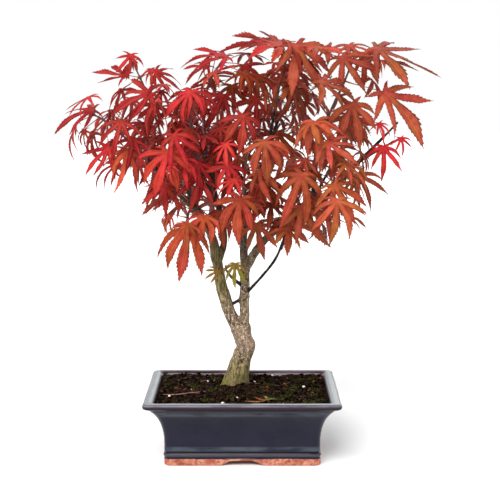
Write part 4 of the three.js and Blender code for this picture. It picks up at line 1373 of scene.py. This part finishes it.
def rounded_ring(setback, height, sides, steps=8):
    """A ring of the pot, with the same number of points on each side and round each corner."""
    half = np.array([POT_WIDTH / 2, POT_DEPTH / 2]) - setback - POT_CORNER
    corners = [half * signs for signs in ((1, 1), (-1, 1), (-1, -1), (1, -1))]
    ring = []
    for number, corner in enumerate(corners):
        for k in range(steps + 1):
            angle = (90 * number + 90 * k / steps) * DEGREE
            ring.append(corner + POT_CORNER * np.array([math.cos(angle), math.sin(angle)]))
        following = corners[(number + 1) % 4]
        outward = POT_CORNER * np.array([(0, 1), (-1, 0), (0, -1), (1, 0)][number])
        for place in sides[number % 2]:
            ring.append(corner + (following - corner) * ((place + 1) / 2) + outward)
    return np.column_stack([ring, np.full(len(ring), height)])


def dense_profile(profile, step):
    """The profile with points no further apart than the step."""
    fine = []
    for (h0, s0), (h1, s1) in zip(profile[:-1], profile[1:]):
        count = max(1, math.ceil(math.hypot(h1 - h0, s1 - s0) / step))
        fine += [(h0 + (h1 - h0) * k / count, s0 + (s1 - s0) * k / count) for k in range(count)]
    return [*fine, profile[-1]]


def pot_relief(points, outer):
    """Shallow panels in the walls, arches in the foot's long sides, and hand-made unevenness."""
    x, y, z = points.T
    setback = np.interp(z, *zip(*OUTER_WALL))
    wall_x = POT_WIDTH / 2 - setback
    wall_y = POT_DEPTH / 2 - setback
    low, high = PANEL_HEIGHTS
    level = smoothstep((z - low) / PANEL_SLOPE + 0.5) * smoothstep((high - z) / PANEL_SLOPE + 0.5)
    front = smoothstep((wall_x - PANEL_INSET - np.abs(x)) / PANEL_SLOPE + 0.5) * (np.abs(y) > wall_y - 0.6)
    end = smoothstep((wall_y - PANEL_INSET - np.abs(y)) / PANEL_SLOPE + 0.5) * (np.abs(x) > wall_x - 0.6)
    points[:, 1] -= np.sign(y) * PANEL_DEPTH * level * front * outer
    points[:, 0] -= np.sign(x) * PANEL_DEPTH * level * end * outer

    arch = ARCH_HEIGHT * smoothstep((1 - np.abs(x) / (ARCH_WIDTH / 2)) * 1.6)
    foot = (z < ARCH_FADE) & (np.abs(y) > POT_DEPTH / 2 - FOOT_BAND) & (np.abs(x) < ARCH_WIDTH / 2)
    points[:, 2] += np.where(foot, arch * (1 - z / ARCH_FADE), 0)

    waver = rough(points * (1, 1, 0.4), 34, 2.2) * 0.22
    middle = points * (1, 1, 0) / np.linalg.norm(points[:, :2], axis=1)[:, None]
    points = points + middle * (waver * (z > 1) * outer)[:, None]
    points[:, 2] += np.where(z > 62, rough(points, 26, 4.4) * 0.12 - 0.15, 0)
    return points


def make_pot():
    sides = [side_places(length / 2 - SIDE_START, PANEL_INSET) for length in (POT_WIDTH, POT_DEPTH)]
    foot_inner = OUTER_WALL[0][1] + FOOT_WIDTH
    underside = [(FOOT_RECESS, foot_inner + 8), (FOOT_RECESS, foot_inner), (0, foot_inner)]
    wall = dense_profile(OUTER_WALL, OUTER_STEP)
    profile = underside + wall + RIM_TOP + INNER_WALL
    rings = np.array([rounded_ring(setback, height, sides) for height, setback in profile])
    first_wall = len(underside)
    first_rim = first_wall + len(wall)
    outer = np.zeros(rings.shape[:2], bool)
    outer[first_wall:first_rim] = True
    points = pot_relief(rings.reshape(-1, 3), outer.ravel())

    # the mark is 1 inside the pot, then 1 on the rim's top
    marks = np.zeros(rings.shape)
    marks[first_rim - 1 : first_rim + len(RIM_TOP), :, 1] = 1
    marks[first_rim + len(RIM_TOP) :, :, 0] = 1
    skin = Skin()
    skin.shell(
        points.reshape(rings.shape),
        (0, 0, FOOT_RECESS),
        (0, 0, POT_FLOOR),
        marks=marks.reshape(-1, 3),
        last_mark=(1, 0, 0),
    )
    piece = skin.piece("pot_glazed", [glaze_material])

    cutters = []
    for side in (-1, 1):
        drill = Skin()
        at = np.array([side * DRAIN_OFFSET, 0, 0])
        drill.tube([at + UP * height for height in DRILL_SPAN], [DRAIN_RADIUS, DRAIN_RADIUS], 40)
        cutter = drill.piece(f"drill_{side + 1}", [])
        cutters.append(cutter)
        cut = piece.modifiers.new("drain", "BOOLEAN")
        cut.operation = "DIFFERENCE"
        cut.solver = "EXACT"
        cut.object = cutter
    applied(piece)
    for cutter in cutters:
        bpy.data.objects.remove(cutter)
    piece.data.shade_smooth()
    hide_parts("pot")


# Soil and what lies on it

MOUND_FLAT = 9
MOUND_REACH = 24
MOUND_NARROWING = 1.1
HEAP = (-1, -6)
HEAP_REACH = (15, 8)
FRONT_HEAP = 4.2
BACK_START = 25
BACK_SPAN = 30
BACK_RISE = 2.4
SOIL_BUMPS = [(13, 1.6), (5, 1.3), (2, 0.8)]
TRUNK_CLEARANCE = 15


def inner_setback(height):
    return np.interp(height, *zip(*reversed(INNER_WALL)))


def soil_height(x, y):
    """Height of the soil's surface before its crumbs: mounded round the trunk, higher at the back."""
    from_trunk = math.hypot(x - TRUNK_FOOT[0], (y - TRUNK_FOOT[1]) * MOUND_NARROWING)
    mound = (SOIL_MOUND - SOIL_EDGE) * math.exp(-((max(from_trunk - MOUND_FLAT, 0) / MOUND_REACH) ** 2))
    across = (x - HEAP[0]) / HEAP_REACH[0]
    deep = (y - HEAP[1]) / HEAP_REACH[1]
    mound += FRONT_HEAP * math.exp(-(across**2) - deep**2)
    mound += BACK_RISE * smoothstep((y - BACK_START) / BACK_SPAN)
    point = Vector((x, y, 0))
    bumps = sum(noise.noise(point / size) * height for size, height in SOIL_BUMPS)
    return SOIL_EDGE + SOIL_RAISE + mound + bumps


def on_soil(draws, edge):
    """A random place on the soil, inside the pot's wall and off the trunk."""
    half_x = POT_WIDTH / 2 - inner_setback(SOIL_EDGE) - edge
    half_y = POT_DEPTH / 2 - inner_setback(SOIL_EDGE) - edge
    while True:
        x = draws.between(-half_x, half_x)
        y = draws.between(-half_y, half_y)
        if math.hypot(x - TRUNK_FOOT[0], y - TRUNK_FOOT[1]) > TRUNK_CLEARANCE:
            return np.array([x, y, soil_height(x, y)])


def add_lump(skin, centre, size, draws, tone, rings, sides, squash=0.7):
    """A small irregular closed grain."""
    axis = unit(np.array([draws.between(-1, 1), draws.between(-1, 1), draws.between(-0.4, 0.4)]) + 1e-3)
    across = unit(np.cross(axis, UP))
    other = np.cross(axis, across)
    scale = np.array([1, 1, squash]) * size
    points = []
    for h in np.linspace(-1, 1, rings + 2)[1:-1]:
        for k in range(sides):
            angle = 2 * math.pi * k / sides
            reach = math.sqrt(1 - h * h) * draws.between(0.7, 1.15)
            points.append(axis * h + (across * math.cos(angle) + other * math.sin(angle)) * reach)
    points = centre + np.array(points).reshape(rings, sides, 3) * scale
    skin.shell(points, centre - axis * scale, centre + axis * scale, tone)


SOIL_DRAWS = 2000
SOIL_BOTTOM = POT_FLOOR + 1.9
WALL_HEIGHTS = [SOIL_BOTTOM, 26, 38, 50, SOIL_EDGE - 1.2]
SURFACE_RINGS = 34
CRUMBS = 2600
CRUMB_EDGE = 1.4
LEAST_CRUMB = 0.6
CRUMB_SPREAD = 1.9
LEAST_SHADE = 0.15
SHADE_SPREAD = 3.4
CRUMB_TONES = [(1, 0.95, 0.9)] * 7 + [(2.2, 1.1, 0.8), (1.9, 1.5, 1.1), (0.8, 1.3, 0.6)]


def make_soil():
    """The soil's bed with its uneven surface, and crumbs of all sizes on it."""
    sides = [np.linspace(-0.98, 0.98, 60), np.linspace(-0.98, 0.98, 44)]
    skin = Skin()
    rings = [rounded_ring(inner_setback(h) + SOIL_GAP, h, sides, 4) for h in WALL_HEIGHTS]
    edge = rounded_ring(inner_setback(SOIL_EDGE) + SOIL_GAP, SOIL_EDGE, sides, 4)
    centre = np.array([*TRUNK_FOOT, 0])
    for inward in np.linspace(0, 0.94, SURFACE_RINGS):
        ring = edge + (centre - edge) * inward
        ring[:, 2] = [soil_height(x, y) for x, y in ring[:, :2]]
        rings.append(ring)
    skin.shell(rings, (0, 0, SOIL_BOTTOM), (*TRUNK_FOOT, SOIL_MOUND))

    draws = Draws(SOIL_DRAWS)
    for _ in range(CRUMBS):
        size = LEAST_CRUMB + CRUMB_SPREAD * draws.next() ** 3
        centre = on_soil(draws, CRUMB_EDGE) + UP * draws.between(-0.1, 0.5) * size
        shade = LEAST_SHADE + SHADE_SPREAD * draws.next() ** 4
        tone = np.array(CRUMB_TONES[int(draws.next() * len(CRUMB_TONES))]) * shade
        add_lump(skin, centre, size, draws, tone, 3, 5)
    soil = skin.piece("soil_bed", [soil_material])
    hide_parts("soil")


MOSS_DRAWS = 3000
MOSS_PATCHES = 60
MOSS_EDGE = 4
MOSS_DRIFTS = 30
MOSSY_FROM = 10
MOSS_LEFT = 0.05
MOSS_RIGHT = 0.5
LEAST_MOSS = 0.05
LEAST_SHOOTS = 16
MORE_SHOOTS = 30
MOSS_REACH = 4.2
MOSS_HEIGHTS = (1.2, 3.0)
MOSS_RADII = [0.22, 0.42, 0.08]


def make_moss():
    """Tufts of short leafy shoots, in drifts that are thicker on the right."""
    draws = Draws(MOSS_DRAWS)
    skin = Skin()
    for _ in range(MOSS_PATCHES):
        centre = on_soil(draws, MOSS_EDGE)
        drift = noise.noise(Vector(centre) / MOSS_DRIFTS)
        thick = drift + (MOSS_RIGHT if centre[0] > MOSSY_FROM else MOSS_LEFT)
        if thick < LEAST_MOSS:
            continue
        for _ in range(int(LEAST_SHOOTS + MORE_SHOOTS * thick)):
            angle = draws.between(0, 2 * math.pi)
            away = MOSS_REACH * math.sqrt(draws.next())
            x = centre[0] + away * math.cos(angle)
            y = centre[1] + away * math.sin(angle)
            foot = np.array([x, y, soil_height(x, y) - 0.3])
            lean = np.array([draws.between(-0.7, 0.7), draws.between(-0.7, 0.7), 1])
            height = draws.between(*MOSS_HEIGHTS)
            shade = draws.between(0.6, 1.5)
            tip = foot + unit(lean) * height
            bend = (foot + tip) / 2 + np.array([draws.between(-0.3, 0.3), draws.between(-0.3, 0.3), 0.2])
            skin.tube([foot, bend, tip], MOSS_RADII, 4, tone=(shade, shade, shade))
    moss = skin.piece("moss", [moss_material])


LITTER_DRAWS = 4000
PALE_GRAINS = [
    (-72, -21), (-36, 31), (-5, -33), (-19, -43), (31, 54), (39, -47), (62, 12), (-52, 6), (12, 24),
]
SCRAPS = 44
SCRAP_TILTS = (-0.12, 0.2)
SCRAP_LENGTHS = (2.5, 7)
SCRAP_TONES = [(0.42, 0.05, 0.04), (0.5, 0.2, 0.07), (0.2, 0.07, 0.04), (0.3, 0.03, 0.05)]
NEEDLES = 60
NEEDLE_TILTS = (-0.15, 0.15)
NEEDLE_LENGTHS = (3, 9)
NEEDLE_RADII = [0.18, 0.26, 0.15]

# Fallen leaf: for each of its pieces the middle, the direction, length, width and tone

FALLEN_LEAF = [
    ((14, -43, 62.6), (-1, -0.12, 0.03), 24, 2.6, (0.5, 0.22, 0.09)),
    ((20, -39, 62.8), (-0.9, 0.5, 0.1), 17, 2.2, (0.55, 0.12, 0.06)),
    ((27, -41, 62.8), (-0.9, -0.5, 0.05), 18, 3.4, (0.14, 0.19, 0.035)),
    ((24, -34, 62.8), (-0.3, 0.9, 0.1), 13, 1.8, (0.42, 0.2, 0.08)),
]

FALLEN_TWIG = [(-78, -19, 62.6), (-66, -17, 62), (-52, -13, 62.7), (-38, -7, 62.3), (-27, -3, 63.4)]
FALLEN_TWIG_RADII = [0.25, 0.38, 0.36, 0.3, 0.18]
FALLEN_TWIG_TONE = (0.5, 0.2, 0.17)


def lying(draws, edge, lift, tilts, lengths):
    """The middle, direction and length of a long thing that lies on the soil."""
    middle = on_soil(draws, edge) + UP * lift
    heading = draws.between(0, 2 * math.pi)
    along = np.array([math.cos(heading), math.sin(heading), draws.between(*tilts)])
    return middle, along, draws.between(*lengths)


def make_litter():
    """Pale grains, leaf scraps, needles of old twig and the long fallen twig."""
    draws = Draws(LITTER_DRAWS)
    grains = Skin()
    for x, y in PALE_GRAINS:
        centre = np.array([x, y, soil_height(x, y) + 0.7])
        add_lump(grains, centre, draws.between(1.1, 1.7), draws, (1, 1, 1), 4, 7, 0.85)
    grains.piece("pale_grains", [grain_material])

    scraps = Skin()
    for number in range(SCRAPS):
        middle, along, length = lying(draws, 4, 0.7, SCRAP_TILTS, SCRAP_LENGTHS)
        width = length * draws.between(0.1, 0.2)
        add_scrap(scraps, middle, unit(along), length, width, draws, SCRAP_TONES[number % len(SCRAP_TONES)])
    for place, along, length, width, tone in FALLEN_LEAF:
        add_scrap(scraps, np.array(place), unit(np.array(along)), length, width, draws, tone)
    scraps.piece("leaf_scraps", [leaf_scrap_material])

    twigs = Skin()
    for _ in range(NEEDLES):
        middle, along, length = lying(draws, 7, 0.5, NEEDLE_TILTS, NEEDLE_LENGTHS)
        shade = draws.between(0.4, 1.6)
        ends = [middle - along * length / 2, middle + UP * 0.3, middle + along * length / 2]
        twigs.tube(ends, NEEDLE_RADII, 5, tone=(0.1 * shade, 0.06 * shade, 0.04 * shade))
    twigs.tube(*smooth_route(FALLEN_TWIG, FALLEN_TWIG_RADII, 2), 8, tone=FALLEN_TWIG_TONE)
    twigs.piece("twig_litter", [twig_material])


def add_scrap(skin, centre, along, length, width, draws, tone):
    """A dry curled bit of leaf, as a thin closed strip."""
    across = unit(np.cross(along, UP))
    rise = np.cross(across, along)
    t = np.linspace(0, 1, 7)
    bow = np.sin(t * math.pi) * draws.between(-0.25, 0.35) * length * 0.3
    middle = centre + np.outer(t - 0.5, along) * length + np.outer(bow, rise)
    half = width * np.sin(t * math.pi) ** 0.7 + 0.08
    strips = [
        middle + np.outer(half * offset, across) + np.outer(lift + half * abs(offset) * 0.3, rise)
        for offset, lift in ((-1, 0), (0, 0.28), (1, 0), (0, 0.02))
    ]
    skin.shell(np.stack(strips, axis=1), middle[0], middle[-1], tone)


# Making everything

leaf_material = leaf_look()
twig_material = twig_look()
bark_material = bark_look()
glaze_material = glaze_look()
soil_material = grains_look("dark_soil", (0.002, 0.0012, 0.0006), (0.034, 0.0195, 0.011), 1.4)
moss_material = grains_look("moss_green", (0.01, 0.017, 0.003), (0.07, 0.085, 0.015), 1.2)
grain_material = grains_look("pale_grain", (0.75, 0.72, 0.66), (0.9, 0.88, 0.84), 1.0)
leaf_scrap_material = grains_look("leaf_scrap", (0.6, 0.55, 0.5), (1.0, 1.0, 1.0), 1.5, 0.6)

for node_name in ("drainage_screen_left", "drainage_screen_right"):
    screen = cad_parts[node_name]
    screen.data.materials.clear()
    screen.data.materials.append(screen_look())

placed_leaves = place_leaves()
for row, leaf in zip(SHOWN_LEAVES, placed_leaves):
    leaf.size *= GROWTH.get(row[1], 1)
for spray_number, spray in enumerate(SPRAYS):
    make_spray(spray_number, [leaf for leaf in placed_leaves if leaf.spray == spray[0]])
make_trunk()
make_pot()
make_soil()
make_moss()
make_litter()

# Floor, light and camera

FLOOR_REACH = 8.0

floor_mesh = bpy.data.meshes.new("floor")
floor_corners = [(x * FLOOR_REACH, y * FLOOR_REACH, 0) for x, y in ((-1, -1), (1, -1), (1, 1), (-1, 1))]
floor_mesh.from_pydata(floor_corners, [], [(0, 1, 2, 3)])
floor = new_object("floor", floor_mesh)
floor_look = Look("pale_floor", 0.9, Specular_IOR_Level=0.1)
floor_look.shader.inputs["Base Color"].default_value = (0.93, 0.93, 0.93, 1)
floor_mesh.materials.append(floor_look.material)

world = bpy.data.worlds.new("studio")
world.use_nodes = True
sky = world.node_tree.nodes
direction = sky.new("ShaderNodeTexCoord")
level = sky.new("ShaderNodeSeparateXYZ")
fading = sky.new("ShaderNodeMapRange")
fading.interpolation_type = "SMOOTHSTEP"
for socket, value in (("From Min", 0.12), ("From Max", 0.55), ("To Min", 1.0), ("To Max", 0.33)):
    fading.inputs[socket].default_value = value
sky["Background"].inputs["Color"].default_value = (1, 1, 1, 1)
world.node_tree.links.new(direction.outputs["Generated"], level.inputs[0])
world.node_tree.links.new(level.outputs["Z"], fading.inputs["Value"])
world.node_tree.links.new(fading.outputs[0], sky["Background"].inputs["Strength"])
bpy.context.scene.world = world


def add_sun(name, towards, strength, spread):
    """A soft distant lamp that shines from that direction."""
    lamp = bpy.data.lights.new(name, "SUN")
    lamp.energy = strength
    lamp.angle = spread * DEGREE
    new_object(name, lamp).rotation_euler = Vector(towards).to_track_quat("Z", "Y").to_euler()


add_sun("key", (-0.3, -0.9, 0.95), 2.8, 35)
add_sun("side", (-1.0, -0.35, 0.8), 1.4, 50)
add_sun("fill", (0.9, -0.5, 0.6), 0.4, 60)
add_sun("back", (0.3, 1.0, 0.9), 0.9, 60)

CAMERA_PLACE = (7.5, -1117, 362.4)
CAMERA_PITCH = 8.07
FOCAL_PIXELS = 1143
PICTURE_PIXELS = 500
SENSOR = 36

camera_data = bpy.data.cameras.new("camera")
camera_data.sensor_width = SENSOR
camera_data.lens = FOCAL_PIXELS * SENSOR / PICTURE_PIXELS
camera_data.clip_end = 50
camera = new_object("camera", camera_data)
camera.location = Vector(np.array(CAMERA_PLACE) * MM + POT_MIDDLE)
camera.rotation_euler = ((90 - CAMERA_PITCH) * DEGREE, 0, 0)
bpy.context.scene.camera = camera
bpy.context.scene.view_settings.view_transform = "Standard"
